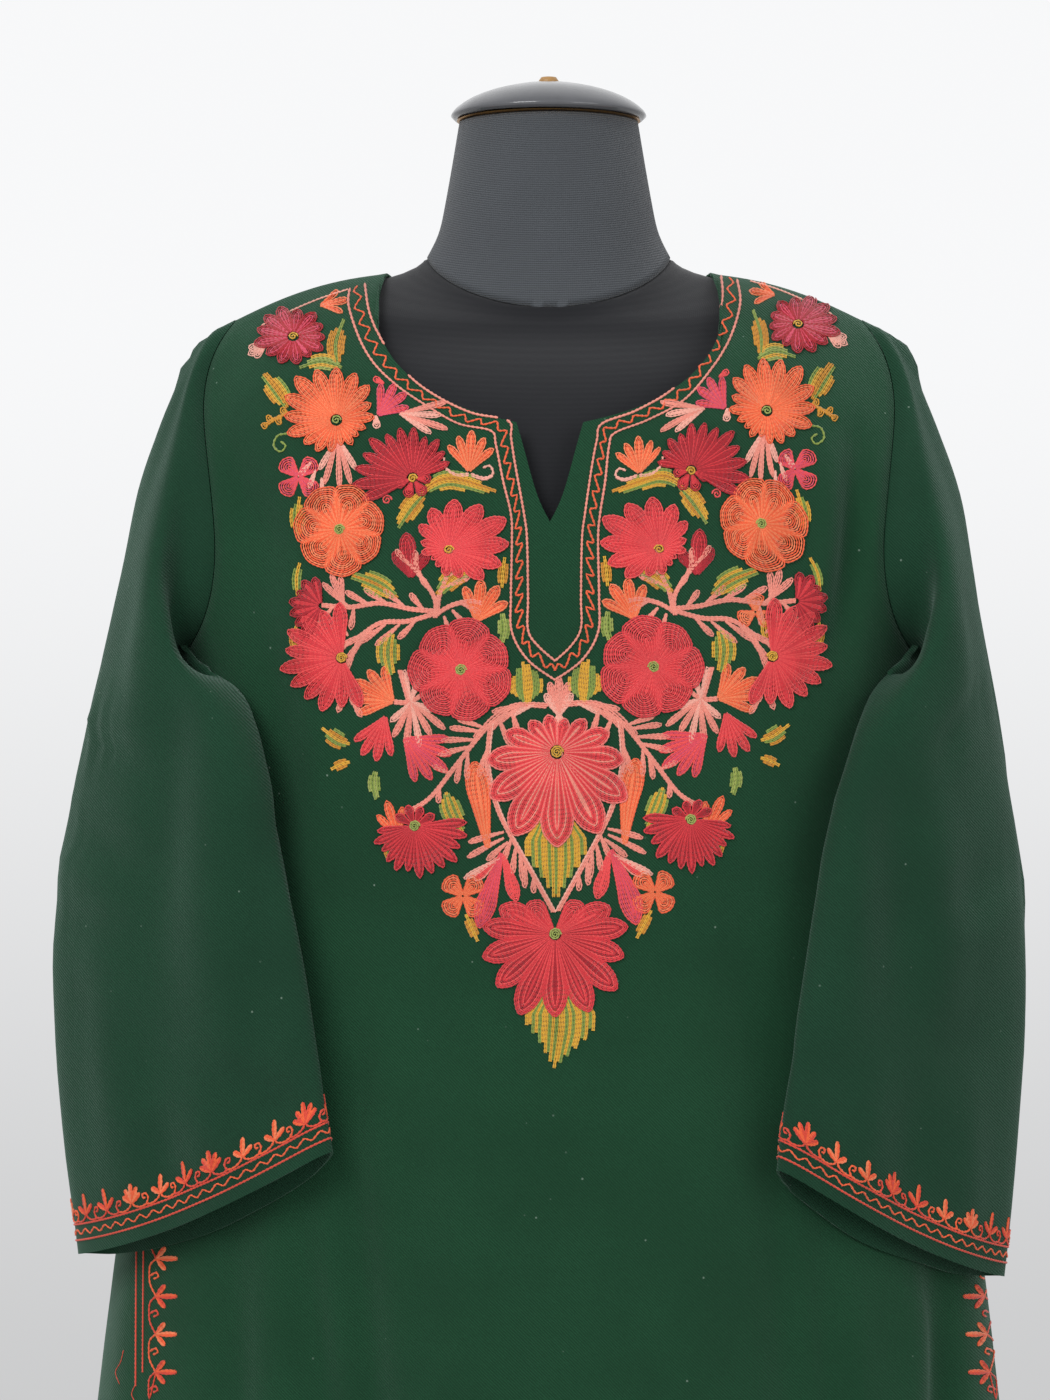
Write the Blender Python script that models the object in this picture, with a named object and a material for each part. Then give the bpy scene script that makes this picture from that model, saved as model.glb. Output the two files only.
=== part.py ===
# Pheran on a dress form: a loose wool shirt with wide set-in sleeves, worn by a limbless form on a pole and
# a round base. Metres, +Z up. The front faces -Y, so the wearer's right is at -X. The origin is the middle of
# the base's underside.
import math

import bpy
import bmesh
from mathutils import Vector
from mathutils.bvhtree import BVHTree

# Cloth
WALL = 0.0018
SEAM_PULL = 0.00024          # each piece is drawn back this far from its seams
HEM_Z = 0.345
ROUND = 2.2                 # roundness of the body's cross-section, 2 is an ellipse
CHEST_Z = 1.17              # here the columns pass inside the armholes
CHEST_TURN = 52.0           # degrees round from the panel's centre to the column beside the armhole there
UNDERARM_DROP = 0.0018      # least height over which a column turns to its place at the chest
CHEST_OUTSIDE = 5           # columns that start on the armhole's lower curve, outside that one
SPREAD_Z = 0.85             # below this the panel's columns are evenly spread
BODY_ROWS = 17
ROW_CROWD = 1.6             # over 1, rows are closer near the shoulders

# Shoulder line: level near the neck, falling away towards the arm
RIDGE_Z = 1.4150
RIDGE_LEVEL_X = 0.090
RIDGE_FALL = 2.56
ARCH_POWER = 1.8
FRONT_ARCH = 0.130          # height over which the front bends from the shoulder line to the chest
BACK_ARCH_NECK = 0.024
BACK_ARCH_ARM = 0.130

# Neckline: a round neck with a slit at the centre of the front
NECK_HALF_WIDTH = 0.1085
NECK_MIDDLE_Z = 1.3880
NECK_DROP = 0.0765
NECK_POINT_X = 0.102
SLIT_TOP_X = 0.0200
SLIT_BOTTOM_Z = 1.2525
SLIT_STEPS = ((0.0, 0.0), (0.38, 0.23), (0.72, 0.68))   # share of SLIT_TOP_X, share of the slit's height
NECK_SEGMENTS = 5
NECK_SIDE_STEPS = (0.45, 0.80)      # share of the way up from the neckline's widest place to the neck point
SHOULDER_SEGMENTS = 4
SHOULDER_TIP_X = 0.198
BACK_NECK_Z = 1.4050
BACK_NECK_SEGMENTS = 4

BODY_COLUMNS = ("z", "half_width", "front", "back")
BODY = (
    (1.430, 0.205, 0.095, 0.092),
    (1.387, 0.222, 0.108, 0.104),
    (1.335, 0.234, 0.122, 0.116),
    (1.270, 0.238, 0.131, 0.122),
    (1.200, 0.238, 0.137, 0.123),
    (1.165, 0.2375, 0.138, 0.122),
    (1.080, 0.239, 0.137, 0.122),
    (1.000, 0.246, 0.136, 0.126),
    (0.900, 0.258, 0.139, 0.134),
    (0.800, 0.272, 0.145, 0.143),
    (0.700, 0.284, 0.151, 0.152),
    (0.550, 0.300, 0.160, 0.162),
    (0.345, 0.322, 0.172, 0.176),
)

# Armhole seam from the shoulder tip down the front, or the back, to the underarm
ARMHOLE_SEGMENTS = 12
ARMHOLE_COLUMNS = ("way", "x", "z")
ARMHOLE = (
    (0.0, 0.1980, 1.3851),
    (1.0, 0.2115, 1.362),
    (2.0, 0.2165, 1.331),
    (3.0, 0.2125, 1.298),
    (4.0, 0.2075, 1.262),
    (5.0, 0.2055, 1.226),
    (6.0, 0.2135, 1.192),
    (7.0, 0.2290, 1.171),
    (8.0, 0.2375, 1.165),
)

# Large upright folds: the middle and half spread in degrees round from the panel's centre, the height where
# the fold starts, and its height above the cloth (a trough is negative). They deepen towards the hem.
FRONT_FOLDS = (
    (-68.0, 6.0, 0.95, 0.006),
    (-43.0, 5.0, 0.98, -0.006),
    (-36.0, 5.0, 0.92, 0.005),
    (-29.0, 4.5, 0.90, -0.006),
    (-20.0, 5.0, 0.98, -0.005),
    (-8.0, 7.0, 0.80, 0.004),
    (11.0, 7.0, 0.75, -0.004),
    (27.0, 4.5, 0.94, -0.006),
    (33.0, 4.5, 0.90, 0.004),
    (38.0, 4.5, 0.92, -0.006),
    (47.0, 6.0, 0.98, 0.006),
    (59.0, 5.5, 0.93, -0.007),
)
BACK_FOLDS = (
    (-62.0, 6.0, 0.95, -0.007),
    (-49.0, 6.0, 1.00, 0.006),
    (-31.0, 6.0, 0.97, -0.006),
    (-14.0, 7.0, 1.05, 0.006),
    (4.0, 6.0, 1.02, -0.006),
    (22.0, 7.0, 0.95, 0.006),
    (37.0, 5.5, 1.00, -0.007),
    (54.0, 6.0, 0.92, 0.007),
    (69.0, 6.0, 0.90, -0.005),
)

# Sleeve rings below the armhole, x counted outwards. Each ring has its outer and its inner edge, how far its
# front and back face stand off the line between them, the way its front face looks (degrees from straight
# ahead towards the outside) and how far the sleeve has turned from the armhole.
SLEEVE_RINGS = 14
SLEEVE_COLUMNS = ("out_x", "out_y", "out_z", "in_x", "in_y", "in_z", "front", "back", "facing", "twist")
RIGHT_SLEEVE = (
    (0.2245, 0.004, 1.340, 0.236, -0.030, 1.156, 0.072, 0.066, 5.0, -10.0),
    (0.2420, 0.006, 1.277, 0.212, -0.088, 1.160, 0.056, 0.045, 22.0, -22.0),
    (0.2630, 0.002, 1.222, 0.186, -0.122, 1.148, 0.046, 0.026, 35.0, -32.0),
    (0.2890, -0.012, 1.121, 0.1665, -0.136, 1.095, 0.037, 0.016, 41.0, -38.0),
    (0.3110, -0.026, 1.030, 0.152, -0.144, 1.015, 0.031, 0.016, 36.0, -40.0),
    (0.3135, -0.036, 0.940, 0.138, -0.150, 0.940, 0.027, 0.017, 32.0, -40.0),
    (0.2920, -0.046, 0.800, 0.130, -0.148, 0.875, 0.024, 0.018, 31.0, -40.0),
)
LEFT_SLEEVE = (
    (0.2240, 0.004, 1.340, 0.236, -0.030, 1.156, 0.072, 0.066, 5.0, -10.0),
    (0.2440, 0.006, 1.277, 0.214, -0.088, 1.160, 0.056, 0.045, 22.0, -22.0),
    (0.2610, 0.002, 1.222, 0.190, -0.122, 1.148, 0.046, 0.026, 35.0, -32.0),
    (0.2790, -0.012, 1.121, 0.1700, -0.136, 1.085, 0.037, 0.016, 41.0, -38.0),
    (0.2980, -0.026, 1.030, 0.156, -0.144, 1.005, 0.031, 0.016, 36.0, -40.0),
    (0.3010, -0.036, 0.935, 0.142, -0.150, 0.930, 0.028, 0.017, 33.0, -40.0),
    (0.2820, -0.046, 0.786, 0.136, -0.148, 0.864, 0.024, 0.018, 31.0, -40.0),
)
CUFF_SAG_FRONT = 0.011
CUFF_SAG_BACK = 0.022
SLEEVE_CLEAR = 0.0050       # middle of the sleeve's wall to the middle of the body's
SLEEVE_CLEAR_RING = 1.2     # control ring from which the whole clearance holds
SLEEVE_SMOOTHING = 3
SLEEVE_CROWD = 1.2          # over 1, rings are closer near the armhole
STAND_OFF = 0.006           # how far the sleeve runs straight out of the armhole before it turns down
STAND_OFF_KEY = 0.25
STAND_OFF_RISE = 0.60       # share of that which it also rises from the body

# Dress form
FORM_CLEAR = 0.0014         # form to the middle of the cloth's wall, along the shoulder line
FORM_CLEAR_GROWTH = 0.035   # and more than that by this share of the distance ahead or behind
FORM_SEGMENTS = 36
FORM_RINGS = 24
FORM_ROUND = 1.9
FORM_CROWD = 0.9            # below 1, rings are closer near the bottom
FORM_COLUMNS = ("level", "half_width", "front", "back", "dip")
FORM = (
    (0.640, 0.158, 0.104, 0.108, 0.0),
    (0.720, 0.176, 0.117, 0.128, 0.0),
    (0.820, 0.181, 0.120, 0.134, 0.0),
    (0.940, 0.162, 0.106, 0.114, 0.0),
    (1.030, 0.143, 0.097, 0.098, 0.0),
    (1.120, 0.157, 0.112, 0.104, 0.0),
    (1.200, 0.171, 0.127, 0.110, 0.0),
    (1.270, 0.180, 0.121, 0.111, 0.0),
    (1.320, 0.183, 0.106, 0.106, 0.03),
    (1.352, 0.181, 0.090, 0.097, 0.12),
    (1.375, 0.179, 0.071, 0.086, 0.28),
    (1.390, 0.1745, 0.064, 0.081, 0.44),
    (1.3985, 0.163, 0.064, 0.078, 0.57),
    (1.4038, 0.148, 0.0625, 0.075, 0.66),
    (1.4088, 0.122, 0.0615, 0.072, 0.78),
    (1.4131, 0.100, 0.0610, 0.070, 0.86),
    (1.4192, 0.085, 0.0607, 0.067, 0.92),
    (1.4265, 0.0775, 0.0605, 0.064, 1.0),
)
FORM_DRAPE_Z = 1.29         # the cloth rests on the form only above this
SAME_SPOT = 0.018           # and up to this far beyond its edge
SEAM_DIP_FRONT = 0.0385     # how far the neck's seam falls at the front
SEAM_DIP_BACK = 0.010
SEAM_DIP_POWER = 1.2
JOINT_GAP = 0.0003
NECK_COLUMNS = ("share", "across", "along")        # share of the neck's height, size as a share of its foot's
NECK = (
    (0.00, 1.000, 1.000),
    (0.12, 0.915, 0.955),
    (0.35, 0.860, 0.935),
    (0.65, 0.800, 0.925),
    (1.00, 0.735, 0.905),
)
NECK_TOP_Z = 1.5110
NECK_RINGS = 6

# Cap on the neck: a thin metal ring, a turned dome and a small knob
CAP_SEGMENTS = 40
SMALL_SEGMENTS = 20          # the knob and the pole
RING_PROFILE = ((0.0, 1.5113), (0.0575, 1.5113), (0.0585, 1.5120), (0.0575, 1.5127), (0.0, 1.5127))
CAP_PROFILE = ((0.0, 1.5130), (0.0600, 1.5130), (0.0622, 1.5150), (0.0618, 1.5172), (0.0560, 1.5225),
               (0.0450, 1.5283), (0.0320, 1.5322), (0.0220, 1.5342), (0.0190, 1.5350), (0.0, 1.5353))
KNOB_PROFILE = ((0.0, 1.5356), (0.0062, 1.5356), (0.0066, 1.5374), (0.0050, 1.5398), (0.0, 1.5407))

# Stand
POLE_RADIUS = 0.0125
BASE_RADIUS = 0.175
BASE_THICK = 0.012
BASE_CROWN = 0.006
HUB_RADIUS = 0.030
HUB_TOP_Z = 0.042
STAND_SEGMENTS = 32


def cubic(keys, values, at):
    """Value at a key on a smooth curve through a table's points."""
    order = sorted(zip(keys, values))
    if at <= order[0][0]:
        return order[0][1]
    if at >= order[-1][0]:
        return order[-1][1]
    i = max(n for n in range(len(order) - 1) if order[n][0] <= at)

    def slope(n):
        low, high = order[max(n - 1, 0)], order[min(n + 1, len(order) - 1)]
        return (high[1] - low[1]) / (high[0] - low[0])

    (k0, v0), (k1, v1) = order[i], order[i + 1]
    width = k1 - k0
    t = (at - k0) / width
    ease = t * t * (3 - 2 * t)
    return (v0 + (v1 - v0) * ease + width * (slope(i) * t * (1 - t) ** 2 - slope(i + 1) * t * t * (1 - t)))


def table_value(rows, columns, name, at):
    """A named column read at a value of the table's first column."""
    place = columns.index(name)
    return cubic([row[0] for row in rows], [row[place] for row in rows], at)


def signed_power(value, power):
    return math.copysign(abs(value) ** power, value)


def ridge_z(x):
    return RIDGE_Z - RIDGE_FALL * max(0.0, abs(x) - RIDGE_LEVEL_X) ** 2


def arch(side, x, z):
    """Share of the body's full depth at a height, from 0 on the shoulder line to 1 on the chest."""
    height = FRONT_ARCH
    if side > 0:
        reach = min(1.0, max(0.0, (abs(x) - RIDGE_LEVEL_X) / (SHOULDER_TIP_X - RIDGE_LEVEL_X)))
        height = BACK_ARCH_NECK + (BACK_ARCH_ARM - BACK_ARCH_NECK) * reach
    fall = min(1.0, max(0.0, (ridge_z(x) - z) / height))
    return (1 - (1 - fall) ** ARCH_POWER) ** (1 / ARCH_POWER)


def fold_rise(side, turn, z):
    """How far the folds move the cloth out at a place on the body."""
    rise = 0.0
    for row in FRONT_FOLDS if side < 0 else BACK_FOLDS:
        middle, spread, top_z, height = row
        growth = min(1.0, max(0.0, (top_z - z) / (top_z - HEM_Z)))
        rise += height * growth ** 0.6 * math.exp(-((math.degrees(turn) - middle) / spread) ** 2)
    return rise * (1 - abs(turn / (math.pi / 2)) ** 8)


def body_point(side, turn, z):
    """Middle of the wall: side is -1 on the front and 1 on the back, turn is from the panel's centre."""
    half = table_value(BODY, BODY_COLUMNS, "half_width", z)
    depth = table_value(BODY, BODY_COLUMNS, "front" if side < 0 else "back", z)
    x = half * signed_power(math.sin(turn), 2 / ROUND)
    y = side * depth * max(0.0, math.cos(turn)) ** (2 / ROUND) * arch(side, x, z)
    rise = fold_rise(side, turn, z)
    return Vector((x + rise * math.sin(turn), y + side * rise * math.cos(turn), z))


def turn_at(x, z):
    half = table_value(BODY, BODY_COLUMNS, "half_width", z)
    return math.asin(signed_power(max(-1.0, min(1.0, x / half)), ROUND / 2))


def shoulder_tops():
    """Points along the shoulder seam and the armhole, from the neck point to the underarm."""
    tops = []
    for n in range(SHOULDER_SEGMENTS + 1):
        x = NECK_POINT_X + (SHOULDER_TIP_X - NECK_POINT_X) * n / SHOULDER_SEGMENTS
        tops.append((x, ridge_z(x)))
    last = ARMHOLE[-1][0]
    for n in range(1, ARMHOLE_SEGMENTS + 1):
        way = last * n / ARMHOLE_SEGMENTS
        tops.append(tuple(table_value(ARMHOLE, ARMHOLE_COLUMNS, name, way) for name in ("x", "z")))
    return tops


def front_tops():
    """Top edge of half the front, from the slit's lower end round the neckline to the underarm."""
    corner = math.asin(SLIT_TOP_X / NECK_HALF_WIDTH)
    corner_z = NECK_MIDDLE_Z - NECK_DROP * math.cos(corner)
    slit = corner_z - SLIT_BOTTOM_Z
    tops = [(SLIT_TOP_X * across, SLIT_BOTTOM_Z + slit * up) for across, up in SLIT_STEPS]
    for n in range(NECK_SEGMENTS + 1):
        angle = corner + (math.pi / 2 - corner) * n / NECK_SEGMENTS
        tops.append((NECK_HALF_WIDTH * math.sin(angle), NECK_MIDDLE_Z - NECK_DROP * math.cos(angle)))
    for share in NECK_SIDE_STEPS:
        x = NECK_HALF_WIDTH - (NECK_HALF_WIDTH - NECK_POINT_X) * share ** 2
        tops.append((x, NECK_MIDDLE_Z + (ridge_z(NECK_POINT_X) - NECK_MIDDLE_Z) * share))
    return tops + shoulder_tops()


def back_tops():
    """Top edge of half the back, from the centre of the back neck to the underarm."""
    tops = []
    rise = ridge_z(NECK_POINT_X) - BACK_NECK_Z
    for n in range(BACK_NECK_SEGMENTS):
        angle = math.pi / 2 * n / BACK_NECK_SEGMENTS
        tops.append((NECK_POINT_X * math.sin(angle), BACK_NECK_Z + rise * (1 - math.cos(angle))))
    return tops + shoulder_tops()


def panel_grid(side, tops):
    """Columns of points from the panel's top edge to the hem, from the wearer's right to the left."""
    half = len(tops) - 1
    beside = half - CHEST_OUTSIDE
    columns = []
    for k in range(-half, half + 1):
        x_top, z_top = tops[abs(k)]
        turn_top = turn_at(math.copysign(x_top, k), z_top)
        turn_chest = math.radians(CHEST_TURN) * k / beside if abs(k) <= beside else turn_top
        turn_low = math.pi / 2 * k / half
        column = []
        for j in range(BODY_ROWS + 1):
            z = z_top + (HEM_Z - z_top) * (j / BODY_ROWS) ** ROW_CROWD
            down = min(1.0, (z_top - z) / max(z_top - CHEST_Z, UNDERARM_DROP))
            spread = min(1.0, max(0.0, (min(z_top, CHEST_Z) - z) / (CHEST_Z - SPREAD_Z)))
            turn = turn_top + (turn_chest - turn_top) * (1 - (1 - down) ** 2)
            turn += (turn_low - turn_chest) * spread * spread * (3 - 2 * spread)
            column.append(body_point(side, turn, z))
        columns.append(column)
    return columns


def armhole_loop(front, back, hand):
    """The armhole's points from the shoulder tip down the front and up the back."""
    steps = ARMHOLE_SEGMENTS
    first = [front[-1 - steps + n][0] for n in range(steps + 1)]
    second = [back[-1 - n][0] for n in range(1, steps)]
    if hand < 0:
        first = [front[steps - n][0] for n in range(steps + 1)]
        second = [back[n][0] for n in range(1, steps)]
    return first + second


def sleeve_ring(hand, row, last):
    """One control ring of a sleeve."""
    value = dict(zip(SLEEVE_COLUMNS, row))
    outer = Vector((hand * value["out_x"], value["out_y"], value["out_z"]))
    inner = Vector((hand * value["in_x"], value["in_y"], value["in_z"]))
    facing = math.radians(value["facing"])
    ahead = Vector((hand * math.sin(facing), -math.cos(facing), 0))
    ring = []
    for n in range(2 * ARMHOLE_SEGMENTS):
        angle = math.pi * n / ARMHOLE_SEGMENTS - math.radians(value["twist"])
        across, out = math.cos(angle), math.sin(angle)
        depth = value["front"] if out > 0 else value["back"]
        point = (outer + inner) / 2 + (outer - inner) / 2 * across + ahead * depth * out
        if last:
            point.z -= (CUFF_SAG_FRONT if out > 0 else CUFF_SAG_BACK) * out * out
        ring.append(point)
    return ring


def keep_clear(grid, tree, clearance):
    """Moves points out of a surface until each is its row's clearance away from it."""
    for rings in grid:
        for j, point in enumerate(rings):
            spot, normal, _, _ = tree.find_nearest(point)
            short = clearance(j) - (point - spot).dot(normal)
            if short > 0 and (point - spot).length < 0.08:
                rings[j] = point + normal * short


def stand_off(hand, armhole, tree):
    """The ring a few millimetres outside the armhole, where the sleeve still runs straight out of it."""
    middle = sum(armhole, Vector((0, 0, 0))) / len(armhole)
    out = Vector((0, 0, 0))
    for n, point in enumerate(armhole):
        out += (point - middle).cross(armhole[(n + 1) % len(armhole)] - middle)
    out = out.normalized() * math.copysign(1, out.x * hand)
    ring = []
    for point in armhole:
        normal = tree.find_nearest(point)[1]
        ring.append(point + (out + normal * STAND_OFF_RISE) * STAND_OFF)
    return ring


def sleeve_grid(hand, rows, armhole, tree):
    """Lines of points from the armhole to the cuff, one for each place round the sleeve."""
    control = [armhole, stand_off(hand, armhole, tree)]
    control += [sleeve_ring(hand, row, row is rows[-1]) for row in rows]
    keys = [0.0, STAND_OFF_KEY] + list(range(1, len(rows) + 1))
    ring_keys = [len(rows) * (j / SLEEVE_RINGS) ** SLEEVE_CROWD for j in range(SLEEVE_RINGS + 1)]
    grid = []
    for n in range(len(armhole)):
        line = [armhole[n]]
        for at in ring_keys[1:]:
            line.append(Vector([cubic(keys, [ring[n][axis] for ring in control], at) for axis in range(3)]))
        grid.append(line)

    def clearance(j):
        share = min(1.0, ring_keys[j] / SLEEVE_CLEAR_RING)
        return WALL * 2 + (SLEEVE_CLEAR - WALL * 2) * share if j else -1.0

    keep_clear(grid, tree, clearance)
    for _ in range(SLEEVE_SMOOTHING):
        old = [list(line) for line in grid]
        for n in range(len(armhole)):
            for j in range(2, SLEEVE_RINGS):
                beside = old[n - 1][j] + old[(n + 1) % len(armhole)][j]
                along = old[n][j - 1] + old[n][j + 1]
                grid[n][j] = old[n][j] * 0.5 + along * 0.18 + beside * 0.07
        keep_clear(grid, tree, clearance)
    return grid


def grid_faces(columns, rows, closed):
    """Quads of a grid as places in a list that runs column by column."""
    faces = []
    for k in range(columns if closed else columns - 1):
        k_next = (k + 1) % columns
        for j in range(rows - 1):
            faces.append((k * rows + j, k * rows + j + 1, k_next * rows + j + 1, k_next * rows + j))
    return faces


def spot_key(point):
    return tuple(round(value * 1e5) for value in point)


def add_normals(normals, grid, closed):
    """Adds a grid's outward face normals to a dictionary of places: pieces that meet share their normals."""
    points = [point for column in grid for point in column]
    rows = len(grid[0])
    middles = [sum((column[j] for column in grid), Vector((0, 0, 0))) / len(grid) for j in range(rows)]
    if not closed:
        middles = [Vector((0, 0, middle.z)) for middle in middles]
    found = []
    for face in grid_faces(len(grid), rows, closed):
        a, b, c, d = (points[i] for i in face)
        found.append(((a, b, c, d), (c - a).cross(d - b), (a - middles[face[0] % rows])))
    sign = math.copysign(1, sum(normal.dot(way) for _, normal, way in found))
    for corners, normal, _ in found:
        for point in corners:
            key = spot_key(point)
            normals[key] = normals.get(key, Vector((0, 0, 0))) + normal * sign


def material(name, colour, roughness, metallic=0.0):
    shade = bpy.data.materials.new(name)
    shade.use_nodes = True
    socket = shade.node_tree.nodes["Principled BSDF"].inputs
    socket["Base Color"].default_value = (*colour, 1.0)
    socket["Roughness"].default_value = roughness
    socket["Metallic"].default_value = metallic
    return shade


def place(name, points, faces, shade, smooth_angle=40.0):
    """A named object from points and faces, with its faces turned outwards."""
    mesh = bpy.data.meshes.new(name)
    mesh.from_pydata([tuple(point) for point in points], [], faces)
    work = bmesh.new()
    work.from_mesh(mesh)
    bmesh.ops.recalc_face_normals(work, faces=work.faces)
    work.to_mesh(mesh)
    work.free()
    mesh.materials.append(shade)
    mesh.shade_smooth()
    mesh.set_sharp_from_angle(angle=math.radians(smooth_angle))
    part = bpy.data.objects.new(name, mesh)
    bpy.context.scene.collection.objects.link(part)
    return part


def edge_loops(columns, rows, closed):
    """Places of the grid's open edges, each in order round the piece."""
    if closed:
        return [[(k, 0) for k in range(columns)], [(k, rows - 1) for k in reversed(range(columns))]]
    loop = [(k, 0) for k in range(columns - 1)] + [(columns - 1, j) for j in range(rows - 1)]
    loop += [(k, rows - 1) for k in range(columns - 1, 0, -1)] + [(0, j) for j in range(rows - 1, 0, -1)]
    return [loop]


def pulled(grid, closed):
    """The grid with its edges drawn back, within the cloth, to leave the seam gap."""
    own = {}
    add_normals(own, grid, closed)
    result = [list(column) for column in grid]
    columns, rows = len(grid), len(grid[0])
    for loop in edge_loops(columns, rows, closed):
        moves, inward = [], 0.0
        for n, (k, j) in enumerate(loop):
            point = grid[k][j]
            before, after = loop[n - 1], loop[(n + 1) % len(loop)]
            along = (grid[after[0]][after[1]] - grid[before[0]][before[1]]).normalized()
            move = along.cross(own[spot_key(point)].normalized())
            moves.append(move)
            within = grid[k][min(max(j, 1), rows - 2)] - point
            inward += move.dot(within)
        for (k, j), move in zip(loop, moves):
            result[k][j] = grid[k][j] + move * math.copysign(SEAM_PULL, inward)
    return result


def cloth(name, grid, normals, closed, shade):
    """A wall of cloth: the grid's points moved half the wall out and half in, joined round the open edges."""
    rows = len(grid[0])
    directions = [normals[spot_key(point)].normalized() for column in grid for point in column]
    points = [point for column in pulled(grid, closed) for point in column]
    outer = [point + way * (WALL / 2) for point, way in zip(points, directions)]
    inner = [point - way * (WALL / 2) for point, way in zip(points, directions)]
    count = len(points)
    faces = grid_faces(len(grid), rows, closed)
    faces += [tuple(count + i for i in reversed(face)) for face in faces]
    for loop in edge_loops(len(grid), rows, closed):
        for n, (k, j) in enumerate(loop):
            k_next, j_next = loop[(n + 1) % len(loop)]
            a, b = k * rows + j, k_next * rows + j_next
            if spot_key(grid[k][j]) > spot_key(grid[k_next][j_next]):
                a, b = b, a
            faces += [(a, b, count + b), (a, count + b, count + a)]
    return place(name, outer + inner, faces, shade)


def form_point(level, angle):
    """A point on the torso: level is its height before the neck's seam dips, angle is 0 at the front."""
    half = table_value(FORM, FORM_COLUMNS, "half_width", level)
    ahead = math.cos(angle) >= 0
    depth = table_value(FORM, FORM_COLUMNS, "front" if ahead else "back", level)
    fall = (SEAM_DIP_FRONT if ahead else SEAM_DIP_BACK) * abs(math.cos(angle)) ** SEAM_DIP_POWER
    z = level - fall * table_value(FORM, FORM_COLUMNS, "dip", level)
    x = half * signed_power(math.sin(angle), 2 / FORM_ROUND)
    return Vector((x, -depth * signed_power(math.cos(angle), 2 / FORM_ROUND), z))


def ring_angles(segments):
    return [2 * math.pi * n / segments for n in range(segments)]


def stacked(name, rings, shade, smooth_angle=60.0):
    """A closed body from rings of points, with a flat fan at each end."""
    count = len(rings[0])
    points = [point for ring in rings for point in ring]
    faces = []
    for r in range(len(rings) - 1):
        for n in range(count):
            m = (n + 1) % count
            faces.append((r * count + n, r * count + m, (r + 1) * count + m, (r + 1) * count + n))
    for start in (0, (len(rings) - 1) * count):
        middle = Vector((0, 0, 0))
        for n in range(count):
            middle += points[start + n] / count
        points.append(middle)
        for n in range(count):
            faces.append((start + n, start + (n + 1) % count, len(points) - 1))
    return place(name, points, faces, shade, smooth_angle)


def under_cloth(point, tree):
    """The point, drawn in where it would touch the cloth that lies over it."""
    spot, normal, _, _ = tree.find_nearest(point)
    out = (point - spot).dot(normal)
    beside = (point - spot - normal * out).length
    clear = FORM_CLEAR + FORM_CLEAR_GROWTH * abs(point.y)
    if point.z > FORM_DRAPE_Z and beside < SAME_SPOT and out > -clear:
        return point - normal * (out + clear)
    return point


def torso(shade, tree):
    low, high = FORM[0][0], FORM[-1][0]
    rings = []
    for r in range(FORM_RINGS + 1):
        level = low + (high - low) * math.sin(math.pi / 2 * r / FORM_RINGS) ** FORM_CROWD
        rings.append([under_cloth(form_point(level, angle), tree) for angle in ring_angles(FORM_SEGMENTS)])
    return stacked("form_torso", rings, shade)


def neck(shade):
    top_level = FORM[-1][0]
    rings = []
    for r in range(NECK_RINGS + 1):
        share = r / NECK_RINGS
        ring = []
        for angle in ring_angles(FORM_SEGMENTS):
            foot = form_point(top_level, angle)
            across = table_value(NECK, NECK_COLUMNS, "across", share)
            along = table_value(NECK, NECK_COLUMNS, "along", share)
            foot_z = foot.z + JOINT_GAP
            z = foot_z + (NECK_TOP_Z - foot_z) * share
            ring.append(Vector((foot.x * across, foot.y * along, z)))
        rings.append(ring)
    return stacked("form_neck", rings, shade)


def turned(name, profile, segments, shade, smooth_angle=30.0):
    """A body turned round an upright axis from a profile that starts and ends on it."""
    work = bmesh.new()
    verts = [work.verts.new((radius, 0, z)) for radius, z in profile]
    edges = [work.edges.new((a, b)) for a, b in zip(verts, verts[1:])]
    bmesh.ops.spin(work, geom=verts + edges, cent=(0, 0, 0), axis=(0, 0, 1), angle=2 * math.pi,
                   steps=segments, use_merge=True)
    bmesh.ops.remove_doubles(work, verts=work.verts, dist=1e-6)
    bmesh.ops.recalc_face_normals(work, faces=work.faces)
    mesh = bpy.data.meshes.new(name)
    work.to_mesh(mesh)
    work.free()
    mesh.materials.append(shade)
    mesh.shade_smooth()
    mesh.set_sharp_from_angle(angle=math.radians(smooth_angle))
    part = bpy.data.objects.new(name, mesh)
    bpy.context.scene.collection.objects.link(part)
    return part


def stand(shade):
    """A round base with a hub, and the pole between the hub and the form."""
    base = ((0.0, 0.0), (BASE_RADIUS - 0.002, 0.0), (BASE_RADIUS, 0.002), (BASE_RADIUS, BASE_THICK - 0.003),
            (BASE_RADIUS - 0.003, BASE_THICK), (HUB_RADIUS + 0.012, BASE_THICK + BASE_CROWN),
            (HUB_RADIUS, BASE_THICK + BASE_CROWN + 0.004), (HUB_RADIUS - 0.004, HUB_TOP_Z), (0.0, HUB_TOP_Z))
    turned("stand_base", base, STAND_SEGMENTS, shade)
    foot, head = HUB_TOP_Z + JOINT_GAP, FORM[0][0] - JOINT_GAP
    pole = ((0.0, foot), (POLE_RADIUS, foot), (POLE_RADIUS, head), (0.0, head))
    turned("stand_pole", pole, SMALL_SEGMENTS, shade)


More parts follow.
